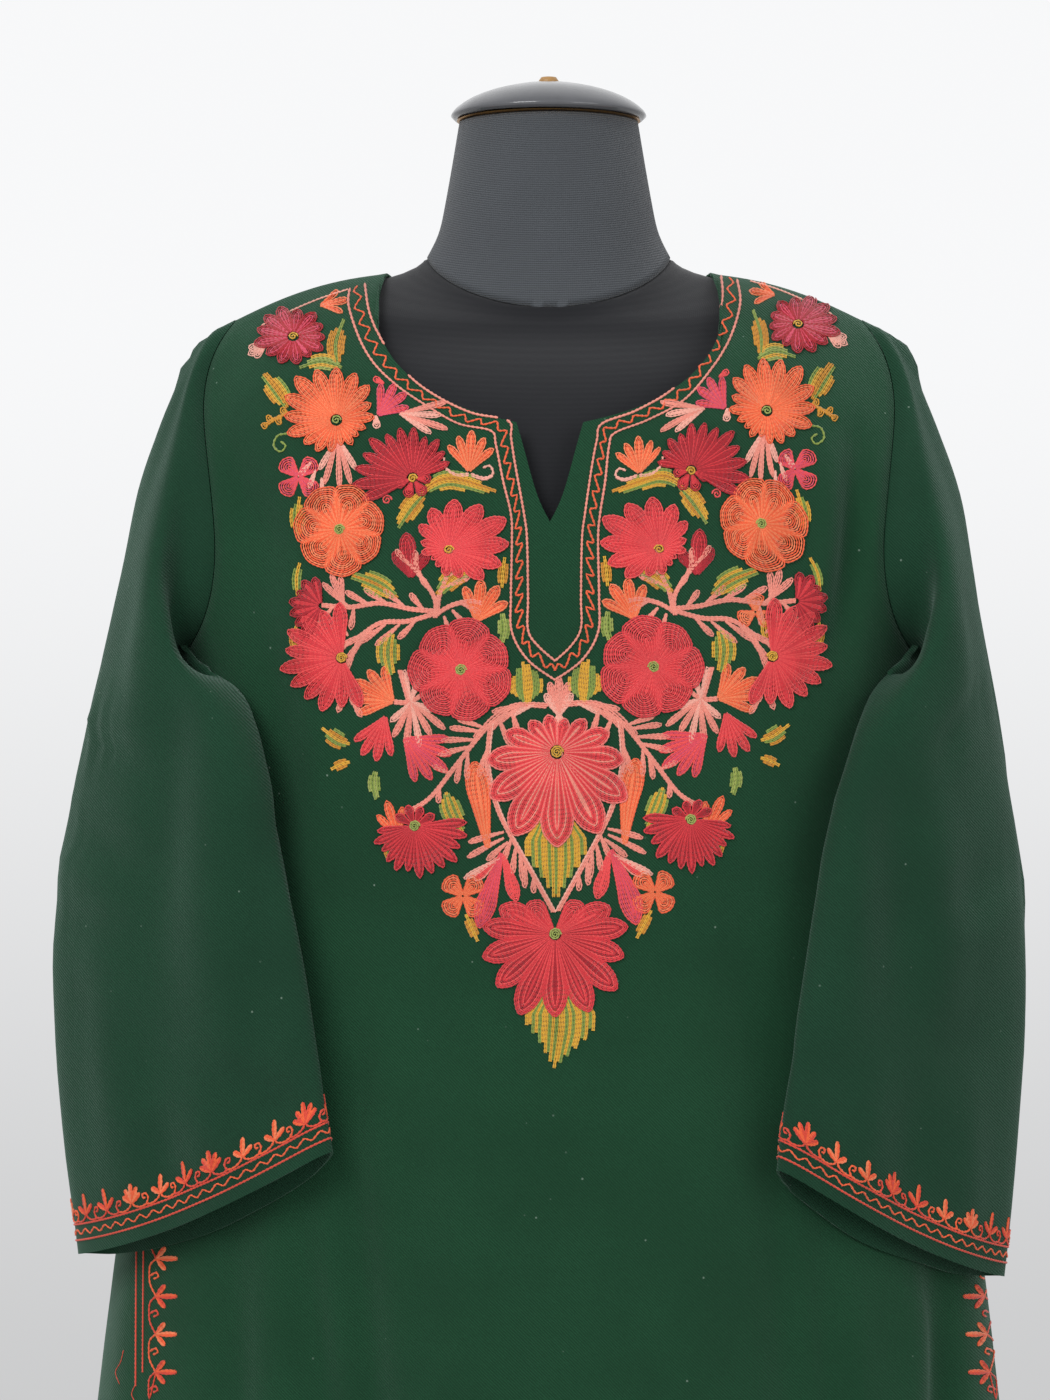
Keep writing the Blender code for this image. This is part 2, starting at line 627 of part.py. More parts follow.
def garment():
    body_green = material("wool_twill_green", (0.010, 0.060, 0.027), 0.85)
    sleeve_green = material("wool_twill_sleeve", (0.010, 0.052, 0.026), 0.85)
    front = panel_grid(-1, front_tops())
    back = panel_grid(1, back_tops())
    points = [point for grid in (front, back) for column in grid for point in column]
    rows = BODY_ROWS + 1
    shift = len(front) * rows
    faces = grid_faces(len(front), rows, False)
    faces += [tuple(shift + i for i in reversed(face)) for face in grid_faces(len(back), rows, False)]
    tree = BVHTree.FromPolygons(points, faces)
    right = sleeve_grid(-1, RIGHT_SLEEVE, armhole_loop(front, back, -1), tree)
    left = sleeve_grid(1, LEFT_SLEEVE, armhole_loop(front, back, 1), tree)
    normals = {}
    for grid, closed in ((front, False), (back, False), (right, True), (left, True)):
        add_normals(normals, grid, closed)
    cloth("front", front, normals, False, body_green)
    cloth("back", back, normals, False, body_green)
    cloth("right_sleeve", right, normals, True, sleeve_green)
    cloth("left_sleeve", left, normals, True, sleeve_green)
    return tree


def dress_form(tree):
    torso(material("form_jersey_black", (0.022, 0.023, 0.026), 0.80), tree)
    neck(material("form_knit_slate", (0.062, 0.067, 0.075), 0.85))
    turned("cap_ring", RING_PROFILE, CAP_SEGMENTS, material("brass", (0.55, 0.36, 0.14), 0.35, 1.0))
    turned("neck_cap", CAP_PROFILE, CAP_SEGMENTS, material("cap_gloss_grey", (0.10, 0.10, 0.11), 0.22))
    turned("cap_knob", KNOB_PROFILE, SMALL_SEGMENTS, material("knob_tan", (0.55, 0.36, 0.16), 0.45))
    stand(material("stand_black_steel", (0.025, 0.025, 0.028), 0.40, 0.6))


for old in list(bpy.data.objects):
    bpy.data.objects.remove(old, do_unlink=True)
dress_form(garment())
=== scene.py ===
import math
import bpy
import bmesh
import numpy as np
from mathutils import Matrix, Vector, noise
from mathutils.bvhtree import BVHTree
from mathutils.kdtree import KDTree


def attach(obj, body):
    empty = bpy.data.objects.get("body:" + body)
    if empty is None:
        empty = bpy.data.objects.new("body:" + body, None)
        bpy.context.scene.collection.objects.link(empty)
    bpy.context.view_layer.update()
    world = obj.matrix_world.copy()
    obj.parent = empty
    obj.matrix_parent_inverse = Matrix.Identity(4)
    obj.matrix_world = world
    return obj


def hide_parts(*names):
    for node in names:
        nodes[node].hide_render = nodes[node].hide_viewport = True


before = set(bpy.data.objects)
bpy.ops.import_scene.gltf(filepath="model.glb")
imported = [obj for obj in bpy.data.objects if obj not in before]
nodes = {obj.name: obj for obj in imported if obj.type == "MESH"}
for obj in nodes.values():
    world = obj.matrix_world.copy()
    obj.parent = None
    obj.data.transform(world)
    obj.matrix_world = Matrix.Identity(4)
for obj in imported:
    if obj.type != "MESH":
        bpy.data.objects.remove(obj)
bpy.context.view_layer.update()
print("frame loaded")

camera = {"place": (-0.015, -2.60, 1.145), "lens": 105.4, "chart": 4098.0, "middle": (525.0, 700.0)}


def linear(code):  # a screen colour as a light value
    parts = [int(code[n:n + 2], 16) / 255 for n in (1, 3, 5)]
    return tuple(((v + 0.055) / 1.055) ** 2.4 if v > 0.04 else v / 12.92 for v in parts)


# materials

class Nodes:  # short words for building a node tree
    def __init__(self, name):
        self.mat = bpy.data.materials.new(name)
        self.mat.use_nodes = True
        self.tree = self.mat.node_tree
        self.bsdf = self.tree.nodes["Principled BSDF"]
        self.coords = self.tree.nodes.new("ShaderNodeTexCoord")

    def add(self, kind, **inputs):
        node = self.tree.nodes.new("ShaderNode" + kind)
        for key, value in inputs.items():
            if hasattr(node, key):
                setattr(node, key, value)
            else:
                self.put(node.inputs[key.replace("_", " ")], value)
        return node

    def put(self, socket, value):
        if isinstance(value, bpy.types.NodeSocket):
            self.tree.links.new(value, socket)
        else:
            socket.default_value = value

    def mapped(self, source, scale=(1, 1, 1), turn=0.0):
        node = self.add("Mapping", Vector=self.coords.outputs[source])
        node.inputs["Scale"].default_value = scale
        node.inputs["Rotation"].default_value = (0, 0, turn)
        return node.outputs["Vector"]

    def slanted(self, across, along):  # the part's place measured along two slanting directions
        both = self.add("CombineXYZ")
        for key, way in (("X", across), ("Y", along)):
            node = self.add("VectorMath", operation="DOT_PRODUCT")
            self.put(node.inputs[0], self.coords.outputs["Object"])
            node.inputs[1].default_value = way
            self.put(both.inputs[key], node.outputs["Value"])
        return both.outputs["Vector"]

    def fac(self, a, b, operation="MULTIPLY", clamp=False):
        node = self.tree.nodes.new("ShaderNodeMath")
        node.operation = operation
        node.use_clamp = clamp
        self.put(node.inputs[0], a)
        self.put(node.inputs[1], b)
        return node.outputs[0]

    def ramp(self, value, low, high, fromLow=0.0, fromHigh=1.0):
        node = self.tree.nodes.new("ShaderNodeMapRange")
        node.interpolation_type = "SMOOTHSTEP"
        for key, number in (("From Min", fromLow), ("From Max", fromHigh), ("To Min", low), ("To Max", high)):
            node.inputs[key].default_value = number
        self.put(node.inputs["Value"], value)
        return node.outputs["Result"]

    def mix(self, share, a, b, blend="MIX"):
        node = self.tree.nodes.new("ShaderNodeMix")
        node.data_type = "RGBA"
        node.blend_type = blend
        self.put(node.inputs[0], share)
        self.put(node.inputs[6], a if isinstance(a, bpy.types.NodeSocket) else (*a, 1))
        self.put(node.inputs[7], b if isinstance(b, bpy.types.NodeSocket) else (*b, 1))
        return node.outputs[2]

    def bump(self, height, distance, strength=1.0, under=None):
        node = self.add("Bump", Height=height)
        node.inputs["Distance"].default_value = distance
        node.inputs["Strength"].default_value = strength
        if under is not None:
            self.put(node.inputs["Normal"], under)
        return node.outputs["Normal"]

    def finish(self, colour, rough, normal=None, **constant):
        self.put(self.bsdf.inputs["Base Color"], colour if isinstance(colour,
            bpy.types.NodeSocket) else (*colour, 1))
        self.put(self.bsdf.inputs["Roughness"], rough)
        if normal is not None:
            self.put(self.bsdf.inputs["Normal"], normal)
        for key, value in constant.items():
            self.bsdf.inputs[key.replace("_", " ")].default_value = value
        return self.mat


wool = {
    "twillPitch": 0.0014,
    "body": "#18432b",
    # the sleeves are the body's wool given a slightly darker green: painted shade on the sleeves
    "sleeve": "#183f2b",
    # dark sets both the random patches and the painted shade in the twill's troughs
    "dark": 0.76,
    "lint": "#8fa596",
    "sheen": 0.25,
}


def woolTwill(name, colour):
    n = Nodes(name)
    base = linear(colour)
    deep = tuple(v * wool["dark"] for v in base)
    pale = tuple(v * 1.26 + 0.002 for v in base)
    flat = n.slanted((0.7071, 0, 0.7071), (0.7071, 0.35, -0.7071))
    twill = n.add("TexWave", Vector=flat, Scale=1 / wool["twillPitch"] / 3.18, Distortion=0.9, Detail=2.0)
    twill.inputs["Detail Scale"].default_value = 2.5
    twill.wave_profile = "SIN"
    weft = n.add("TexNoise", Vector=n.slanted((636, 0, 636), (170, 90, -170)), Scale=1.0, Detail=2.0)
    patch = n.add("TexNoise", Vector=n.mapped("Object"), Scale=9.0, Detail=5.0, Roughness=0.6)
    fuzz = n.add("TexNoise", Vector=n.mapped("Object"), Scale=420.0, Detail=4.0, Roughness=0.7)
    specks = n.add("TexVoronoi", Vector=n.mapped("Object"), Scale=85.0)
    speck = n.ramp(specks.outputs["Distance"], 1.0, 0.0, 0.035, 0.075)
    rare = n.add("TexNoise", Vector=n.mapped("Object"), Scale=31.0, Detail=1.0)
    lint = n.fac(speck, n.ramp(rare.outputs["Fac"], 0.0, 0.5, 0.56, 0.64))
    weave = n.fac(n.fac(twill.outputs["Fac"], 0.62), n.fac(weft.outputs["Fac"], 0.55), "ADD")
    # The weave and fuzz that raise the bump also set the colour: darker in the twill's troughs and paler on
    # raised fuzz. This is painted shade and painted highlight, besides the yarns' own random tone.
    colour1 = n.mix(n.ramp(weave, 0.0, 1.0, 0.25, 0.95), deep, pale)
    colour2 = n.mix(n.ramp(patch.outputs["Fac"], 0.0, 0.55, 0.38, 0.68), colour1, deep)
    colour3 = n.mix(n.ramp(fuzz.outputs["Fac"], 0.0, 0.30, 0.52, 0.75), colour2, pale)
    colour4 = n.mix(lint, colour3, linear(wool["lint"]))
    height = n.fac(weave, n.fac(fuzz.outputs["Fac"], 0.8), "ADD")
    normal = n.bump(height, 0.0006, 0.75)
    return n.finish(colour4, 0.92, normal, Sheen_Weight=wool["sheen"], Sheen_Roughness=0.45,
                    Sheen_Tint=(0.55, 0.75, 0.66, 1.0), Specular_IOR_Level=0.18)


def threadFinish(name, code):
    n = Nodes(name)
    base = linear(code)
    deep = tuple(v * 0.62 for v in base)
    tone = n.add("TexNoise", Vector=n.mapped("Object"), Scale=55.0, Detail=2.0)
    ply = n.add("TexNoise", Vector=n.mapped("Object"), Scale=1500.0, Detail=2.0)
    colour = n.mix(n.ramp(tone.outputs["Fac"], 0.0, 0.35, 0.40, 0.66), base, deep)
    # the ply noise also makes the bump, so the thread is darker where its surface is low: painted shade in
    # the twist's grooves
    colour = n.mix(n.ramp(ply.outputs["Fac"], 0.30, 0.0, 0.35, 0.6), colour, deep)
    return n.finish(colour, 0.62, n.bump(ply.outputs["Fac"], 0.0003, 0.7), Sheen_Weight=0.3,
                    Sheen_Roughness=0.4, Specular_IOR_Level=0.35)


def knitCover(name, code, pitch, depth, rough=0.88):
    n = Nodes(name)
    base = linear(code)
    ribs = n.add("TexWave", Vector=n.mapped("UV"), Scale=1 / pitch / 3.18, Distortion=0.5, Detail=1.0)
    courses = n.add("TexWave", Vector=n.mapped("UV"), Scale=1.4 / pitch / 3.18, Distortion=0.8, Detail=1.0)
    courses.bands_direction = "Y"
    loops = n.fac(n.fac(ribs.outputs["Fac"], 0.25), n.fac(courses.outputs["Fac"], 0.75), "ADD")
    fuzz = n.add("TexNoise", Vector=n.mapped("Object"), Scale=300.0, Detail=4.0)
    patch = n.add("TexNoise", Vector=n.mapped("Object"), Scale=14.0, Detail=4.0)
    # the loops that make the bump also set the colour: painted shade in the grooves between them and a
    # painted highlight on their tops
    colour = n.mix(n.ramp(loops, 0.0, 1.0, 0.0, 0.8), tuple(v * 0.6 for v in base),
        tuple(v * 1.18 for v in base))
    colour = n.mix(n.ramp(patch.outputs["Fac"], 0.0, 0.4, 0.4, 0.7), colour, tuple(v * 0.8 for v in base))
    height = n.fac(loops, n.fac(fuzz.outputs["Fac"], 0.5), "ADD")
    return n.finish(colour, rough, n.bump(height, depth, 0.8), Sheen_Weight=0.25, Sheen_Roughness=0.5,
                    Specular_IOR_Level=0.25)


def plainFinish(name, code, rough, spread, scale, depth, metallic=0.0, coat=0.0):
    n = Nodes(name)
    base = linear(code)
    wear = n.add("TexNoise", Vector=n.mapped("Object"), Scale=scale, Detail=6.0, Roughness=0.65)
    fine = n.add("TexNoise", Vector=n.mapped("Object"), Scale=scale * 22, Detail=3.0)
    colour = n.mix(n.ramp(wear.outputs["Fac"], 0.0, 0.7, 0.35, 0.75), base, tuple(v * 0.72 for v in base))
    roughness = n.ramp(wear.outputs["Fac"], rough - spread, rough + spread, 0.3, 0.7)
    return n.finish(colour, roughness, n.bump(fine.outputs["Fac"], depth, 0.5), Metallic=metallic,
                    Coat_Weight=coat)


finishes = {
    "body": woolTwill("wool twill of the body", wool["body"]),
    # the sleeves' wool twill is the body's with a darker colour: painted shade
    "sleeve": woolTwill("shaded wool twill of the sleeves", wool["sleeve"]),
    "torso": knitCover("black jersey of the form", "#1e1f23", 0.0011, 0.0002),
    "neck": knitCover("slate knit of the neck", "#505459", 0.0016, 0.0006),
    "cap": plainFinish("glossy grey cap", "#5d5e62", 0.20, 0.05, 30.0, 0.00004, 0.0, 0.4),
    "ring": plainFinish("satin brass ring", "#b98a4a", 0.34, 0.08, 60.0, 0.00005, 1.0),
    "knob": plainFinish("varnished tan knob", "#b98d55", 0.40, 0.08, 90.0, 0.00006),
    "stand": plainFinish("satin black steel", "#26272a", 0.38, 0.07, 22.0, 0.00006, 0.5),
}
print("materials made")


# cloth shells

shell = {
    "wall": 0.0018,
    "levels": 2,
    "junctions": ((0.102, 0.0, 1.4147), (0.198, 0.0, 1.3851), (0.2375, 0.0, 1.165)),
    "slitCorners": ((0.0200, 1.3127), (0.0, 1.2525)),    # x and z, on the front only
    "ripple": 0.0011,
    "seamSwell": 0.0009,
    "seamWidth": 0.007,
    "foldSpread": 1.25,
    "foldDepth": 2.6,
}


def outsideOf(work):  # keeps the outer side of a wall's faces
    rim = [f for f in work.faces if any(abs(e.calc_length() - shell["wall"]) < 3e-5 for e in f.edges)]
    bmesh.ops.delete(work, geom=rim, context="FACES")
    groups, seen = [], set()
    for start in work.faces:
        if start in seen:
            continue
        seen.add(start)
        group, todo = [], [start]
        while todo:
            face = todo.pop()
            group.append(face)
            for edge in face.edges:
                for other in edge.link_faces:
                    if other not in seen:
                        seen.add(other)
                        todo.append(other)
        groups.append(group)
    groups.sort(key=lambda g: sum(f.calc_area() for f in g))
    keep = set(groups[-1])
    print("   sides", [len(g) for g in groups])
    bmesh.ops.delete(work, geom=[f for f in work.faces if f not in keep], context="FACES")


def meshFrom(work, name):
    mesh = bpy.data.meshes.new(name)
    work.to_mesh(mesh)
    work.free()
    return mesh


def piece(name, mesh, finish, stands=(), body="root"):
    thing = bpy.data.objects.new(name, mesh)
    bpy.context.scene.collection.objects.link(thing)
    thing.data.materials.clear()
    thing.data.materials.append(finish)
    if stands:
        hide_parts(*stands)
    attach(thing, body)
    return thing


def applied(thing):  # the mesh with its modifiers in it
    bpy.context.view_layer.update()
    mesh = bpy.data.meshes.new_from_object(thing.evaluated_get(bpy.context.evaluated_depsgraph_get()))
    thing.modifiers.clear()
    old = thing.data
    thing.data = mesh
    bpy.data.meshes.remove(old)
    return thing


def subdivided(mesh, levels):
    temp = bpy.data.objects.new("work", mesh)
    bpy.context.scene.collection.objects.link(temp)
    modifier = temp.modifiers.new("smooth", "SUBSURF")
    modifier.levels = modifier.render_levels = levels
    modifier.boundary_smooth = "PRESERVE_CORNERS"
    applied(temp)
    result = temp.data
    bpy.data.objects.remove(temp)
    return result


def clothLayer(node):  # the outer side of a CAD wall as a smooth quad sheet
    work = bmesh.new()
    work.from_mesh(nodes[node].data)
    bmesh.ops.remove_doubles(work, verts=work.verts, dist=2e-5)
    outsideOf(work)
    bmesh.ops.join_triangles(work, faces=work.faces, angle_face_threshold=math.pi,
                             angle_shape_threshold=math.pi)
    crease = work.verts.layers.float.new("crease_vert")
    for vert in work.verts:
        if vert.is_boundary:
            spot = Vector((abs(vert.co.x), vert.co.y, vert.co.z))
            if min((spot - Vector(j)).length for j in shell["junctions"]) < 0.004:
                vert[crease] = 1.0
            if node == "front" and min(math.dist((spot.x, spot.z), c) for c in shell["slitCorners"]) < 0.003:
                vert[crease] = 1.0
    return subdivided(meshFrom(work, node + "Layer"), shell["levels"])


def treeOf(*meshes):
    points, faces = [], []
    for mesh in meshes:
        base = len(points)
        points += [v.co.copy() for v in mesh.vertices]
        faces += [tuple(base + i for i in p.vertices) for p in mesh.polygons]
    return BVHTree.FromPolygons(points, faces)


def chartRay(u, v, behind=False):
    eye = Vector(camera["place"])
    way = Vector(((u - camera["middle"][0]) / camera["chart"], 1.0,
        -(v - camera["middle"][1]) / camera["chart"]))
    if behind:
        eye = Vector((eye.x, -eye.y, eye.z))
        way.y = -1.0
    return eye, way.normalized()


def onTree(tree, u, v, behind=False):
    eye, way = chartRay(u, v, behind)
    spot, normal, _, _ = tree.ray_cast(eye, way)
    if spot is not None and normal.dot(way) > 0:
        normal = -normal
    return spot, normal


# Creases: chart points, half width and height in millimetres (a trough is negative). The chart's squares are
# 0.61 mm: u runs to the right and v down, seen from the front. The back's are read through the cloth.
frontCreases = (
    (((352, 1080), (358, 1230), (372, 1420), (380, 1700)), 9, -3.5),
    (((372, 1100), (384, 1260), (398, 1420)), 10, 2.2),
    (((300, 1190), (312, 1300), (326, 1420), (334, 1700)), 8, -3.2),
    (((322, 1210), (338, 1320), (346, 1420)), 7, 2.0),
    (((234, 1260), (238, 1400), (240, 1600)), 9, -2.2),
    (((223, 465), (246, 500), (270, 560)), 12, -2.6),
    (((262, 610), (280, 700), (292, 800)), 12, -2.2),
    (((300, 560), (312, 700), (318, 860)), 13, 2.0),
    (((859, 445), (856, 500), (848, 570), (838, 640)), 8, -4.2),
    (((838, 470), (834, 540), (824, 620)), 8, 2.6),
    (((878, 470), (874, 540)), 7, 2.0),
    (((783, 1170), (790, 1290), (800, 1420), (812, 1700)), 9, -3.6),
    (((812, 1230), (822, 1320), (834, 1420), (850, 1700)), 8, -3.0),
    (((800, 1200), (808, 1330), (816, 1430)), 7, 2.2),
    (((847, 1260), (856, 1400), (864, 1600)), 8, 2.0),
    (((939, 1270), (944, 1400), (950, 1600)), 9, -3.0),
    (((916, 1290), (922, 1400)), 8, 2.0),
    (((430, 1050), (452, 1180), (462, 1400), (470, 1700)), 16, 2.2),
    (((690, 1040), (684, 1200), (676, 1400), (668, 1700)), 16, 2.0),
    (((560, 1090), (566, 1250), (560, 1500)), 18, -2.0),
    (((610, 960), (640, 1100), (650, 1300)), 14, -1.8),
    (((330, 900), (352, 1000), (354, 1080)), 12, -2.0),
    (((400, 905), (420, 1010), (428, 1120)), 12, -1.6),
    (((736, 900), (752, 1000), (762, 1110)), 12, -2.0),
    (((240, 1500), (246, 1720)), 10, 2.4),
    (((420, 1500), (426, 1720)), 11, -2.4),
    (((530, 1560), (524, 1740)), 11, 2.2),
    (((740, 1500), (752, 1740)), 11, -2.4),
    (((890, 1480), (900, 1740)), 10, 2.4),
)
backCreases = (
    (((330, 420), (400, 520), (520, 590), (640, 560), (770, 430)), 16, -2.6),
    (((300, 470), (410, 610), (540, 670), (680, 610), (800, 470)), 17, -2.0),
    (((250, 520), (300, 640), (330, 760)), 12, -2.6),
    (((850, 520), (800, 640), (770, 760)), 12, -2.6),
    (((300, 1080), (290, 1300), (280, 1700)), 11, -3.2),
    (((420, 1000), (416, 1250), (410, 1700)), 13, 2.8),
    (((540, 1050), (548, 1300), (552, 1700)), 13, -2.8),
    (((660, 980), (674, 1250), (690, 1700)), 12, 2.8),
    (((780, 1060), (796, 1300), (812, 1700)), 11, -3.2),
    (((880, 1150), (890, 1400), (902, 1700)), 10, 2.4),
    (((210, 1180), (204, 1400), (196, 1700)), 10, 2.4),
)
sleeveFrontCreases = (
    (((118, 1062), (150, 1072), (215, 1090), (262, 1097), (318, 1108)), 6, -2.6),
    (((120, 1085), (180, 1100), (240, 1112)), 7, 2.0),
    (((86, 741), (104, 744), (122, 752), (140, 765)), 4, -3.2),
    (((80, 722), (104, 722), (128, 732)), 6, 2.2),
    (((58, 830), (90, 842), (132, 870)), 7, -2.4),
    (((56, 862), (86, 880), (120, 906)), 8, 2.2),
    (((58, 905), (92, 915), (140, 940)), 7, -1.8),
    (((250, 640), (226, 760), (214, 900), (226, 1050)), 15, 2.6),
    (((282, 800), (262, 930), (256, 1060)), 10, -2.0),
    (((212, 480), (190, 560), (176, 660)), 10, -2.6),
    (((160, 560), (146, 660), (140, 760)), 13, 2.4),
    (((180, 640), (168, 760), (160, 900), (160, 1040)), 12, -2.2),
    (((100, 960), (112, 1060), (120, 1190)), 11, 2.0),
    (((206, 1100), (214, 1180)), 10, 1.8),
    (((160, 1110), (164, 1200)), 8, -1.8),
    (((276, 1110), (284, 1170)), 8, -1.6),
    (((62, 1000), (90, 1008), (130, 1012)), 6, -1.6),
    (((900, 470), (914, 560), (922, 660)), 11, -2.6),
    (((938, 540), (952, 640), (962, 740)), 12, 2.4),
    (((880, 700), (892, 800), (900, 920), (902, 1040)), 14, -2.2),
    (((850, 800), (858, 900), (856, 1010)), 11, 2.2),
    (((930, 800), (940, 900), (944, 1010)), 12, 2.2),
    (((1020, 860), (985, 880), (950, 905)), 7, -2.2),
    (((1024, 905), (990, 925), (950, 940)), 7, 2.0),
    (((1016, 1020), (975, 1040), (920, 1046)), 7, -2.0),
    (((800, 1060), (850, 1080), (900, 1084)), 7, -1.8),
    (((870, 1090), (866, 1190)), 9, 2.0),
    (((914, 1100), (912, 1200)), 8, -1.8),
    (((966, 1110), (966, 1240)), 9, 1.8),
    (((982, 700), (960, 720), (944, 752)), 6, -2.4),
)
sleeveBackCreases = (
    (((90, 760), (150, 800), (230, 830)), 8, -2.6),
    (((80, 860), (150, 880), (240, 870)), 9, 2.2),
    (((70, 940), (140, 960), (250, 950)), 8, -2.2),
    (((160, 560), (150, 700), (150, 900)), 13, 2.4),
    (((210, 620), (205, 780), (215, 960)), 12, -2.2),
    (((1010, 780), (950, 820), (880, 840)), 8, -2.6),
    (((1020, 880), (950, 900), (870, 890)), 9, 2.2),
    (((1020, 980), (960, 1000), (860, 985)), 8, -2.2),
    (((940, 570), (960, 700), (960, 900)), 13, 2.4),
    (((890, 640), (900, 800), (890, 960)), 12, -2.2),
)


def between(a, b, c, d, t):  # place between b and c on a curve that also heads for a and d
    first, second, third = c - a, 2 * a - 5 * b + 4 * c - d, 3 * b - a - 3 * c + d
    return 0.5 * (2 * b + first * t + second * t * t + third * t ** 3)


def smoothPath(points, step):  # a soft curve through chart points, cut into even steps
    if len(points) == 2:
        fine = [(points[0][0] + (points[1][0] - points[0][0]) * t / 24,
                 points[0][1] + (points[1][1] - points[0][1]) * t / 24) for t in range(25)]
    else:
        ends = [points[0]] + list(points) + [points[-1]]
        fine = []
        for a, b, c, d in zip(ends, ends[1:], ends[2:], ends[3:]):
            for k in range(16):
                t = k / 16
                fine.append(tuple(between(a[i], b[i], c[i], d[i], t) for i in (0, 1)))
        fine.append(tuple(points[-1]))
    lengths = [0.0]
    for a, b in zip(fine, fine[1:]):
        lengths.append(lengths[-1] + math.dist(a, b))
    count = max(1, round(lengths[-1] / step))
    result, at = [], 0
    for k in range(count + 1):
        goal = lengths[-1] * k / count
        while at < len(fine) - 2 and lengths[at + 1] < goal:
            at += 1
        span = lengths[at + 1] - lengths[at]
        t = (goal - lengths[at]) / span if span > 1e-9 else 0.0
        result.append((fine[at][0] + (fine[at + 1][0] - fine[at][0]) * t,
                       fine[at][1] + (fine[at + 1][1] - fine[at][1]) * t))
    return result


def creaseShift(points, tree, table, behind):  # how far each point moves along the cloth's normal
    shift = np.zeros(len(points))
    for path, width, height in table:
        line = smoothPath(path, 12.0)
        spots = [onTree(tree, u, v, behind)[0] for u, v in line]
        best = np.zeros(len(points))
        for k, spot in enumerate(spots):
            if spot is None:
                continue
            fade = math.sin(math.pi * min(1.0, max(0.08, (k + 0.6) / (len(spots) + 0.2)))) ** 0.6
            gap = np.linalg.norm(points - np.array(spot), axis=1) / (width * shell["foldSpread"] / 1000)
            best = np.maximum(best, fade * np.exp(-gap * gap * 0.5))
        shift += best * height * shell["foldDepth"] / 1000
    return shift


def edgeDistance(mesh):  # how far each point is from the sheet's own edge
    counts = {}
    for poly in mesh.polygons:
        for key in poly.edge_keys:
            counts[key] = counts.get(key, 0) + 1
    edge = sorted({i for key, n in counts.items() if n == 1 for i in key})
    kd = KDTree(len(edge))
    for i in edge:
        kd.insert(mesh.vertices[i].co, i)
    kd.balance()
    return np.array([kd.find(v.co)[2] for v in mesh.vertices])


def shaped(mesh, tree, tables, seams):
    mesh.update()
    points = np.array([v.co[:] for v in mesh.vertices])
    normals = np.array([v.normal[:] for v in mesh.vertices])
    shift = np.zeros(len(points))
    for table, behind in tables:
        facing = (normals[:, 1] > 0) if behind else (normals[:, 1] <= 0.35)
        shift += creaseShift(points, tree, table, behind) * facing
    gap = edgeDistance(mesh)
    for i, p in enumerate(points):
        spot = Vector(p)
        wave = noise.noise(spot * 11) + 0.55 * noise.noise(spot * 24 + Vector((3, 1, 7)))
        shift[i] += wave * shell["ripple"]
    shift *= np.clip(gap / 0.020, 0.0, 1.0)
    for spots in seams:  # the cloth swells a little beside a seam, and is held down at it
        line = np.array([s[:] for s in spots])
        near = np.array([np.sqrt(((line - p) ** 2).sum(axis=1).min()) for p in points]) / shell["seamWidth"]
        shift += shell["seamSwell"] * 2.7 * near ** 2 * np.exp(-near ** 2)
    points += normals * shift[:, None]
    mesh.vertices.foreach_set("co", points.ravel())
    mesh.update()


def pushOut(mesh, tree, clearance, reach=0.05):
    for vert in mesh.vertices:
        spot, normal, _, _ = tree.find_nearest(vert.co, reach)
        if spot is None:
            continue
        short = clearance(vert.co) - (vert.co - spot).dot(normal)
        if 0 < short < reach:
            vert.co += normal * short
    mesh.update()


def relax(mesh, share, passes, holdEdge=0.012):
    gap = edgeDistance(mesh)
    links = [[] for _ in mesh.vertices]
    for a, b in mesh.edge_keys:
        links[a].append(b)
        links[b].append(a)
    for _ in range(passes):
        old = [v.co.copy() for v in mesh.vertices]
        for vert in mesh.vertices:
            if gap[vert.index] > holdEdge:
                mean = sum((old[i] for i in links[vert.index]), Vector((0, 0, 0))) / len(links[vert.index])
                vert.co = old[vert.index].lerp(mean, share)
    mesh.update()


def bodyUv(mesh):  # u runs round the body from its centre, v up, both in metres
    layer = mesh.uv_layers.new(name="cloth")
    widest = {}
    for vert in mesh.vertices:
        key = round(vert.co.z * 25)
        widest[key] = max(widest.get(key, 0.2), abs(vert.co.x))
    for loop in mesh.loops:
        co = mesh.vertices[loop.vertex_index].co
        half = widest[round(co.z * 25)]
        t = math.atan2(co.x / half, abs(co.y) / (half * 0.57))
        layer.data[loop.index].uv = (t * half * 0.82, co.z)


def sleeveUv(mesh, hand):
    layer = mesh.uv_layers.new(name="cloth")
    around = 168 * wool["twillPitch"] * math.sqrt(2)
    rows = {}
    for vert in mesh.vertices:
        rows.setdefault(round(vert.co.z * 20), []).append(vert.co)
    centre = {key: sum(found, Vector((0, 0, 0))) / len(found) for key, found in rows.items()}
    for poly in mesh.polygons:
        values = []
        for i in poly.loop_indices:
            co = mesh.vertices[mesh.loops[i].vertex_index].co
            middle = centre[round(co.z * 20)]
            values.append(math.atan2(co.x - middle.x, co.y - middle.y) / (2 * math.pi))
        if max(values) - min(values) > 0.5:
            values = [v + 1 if v < 0 else v for v in values]
        for i, value in zip(poly.loop_indices, values):
            layer.data[i].uv = (value * around * hand, mesh.vertices[mesh.loops[i].vertex_index].co.z)


def walled(name, mesh, finish):  # gives the sheet its thickness, to the inside
    thing = piece(name, mesh, finish, (name,))
    modifier = thing.modifiers.new("wall", "SOLIDIFY")
    modifier.thickness = shell["wall"]
    modifier.offset = -1.0
    modifier.use_even_offset = False
    modifier.use_quality_normals = True
    applied(thing)
    thing.name = name + "Cloth"
    thing.data.shade_smooth()
    thing.data.set_sharp_from_angle(angle=math.radians(50))
    return thing


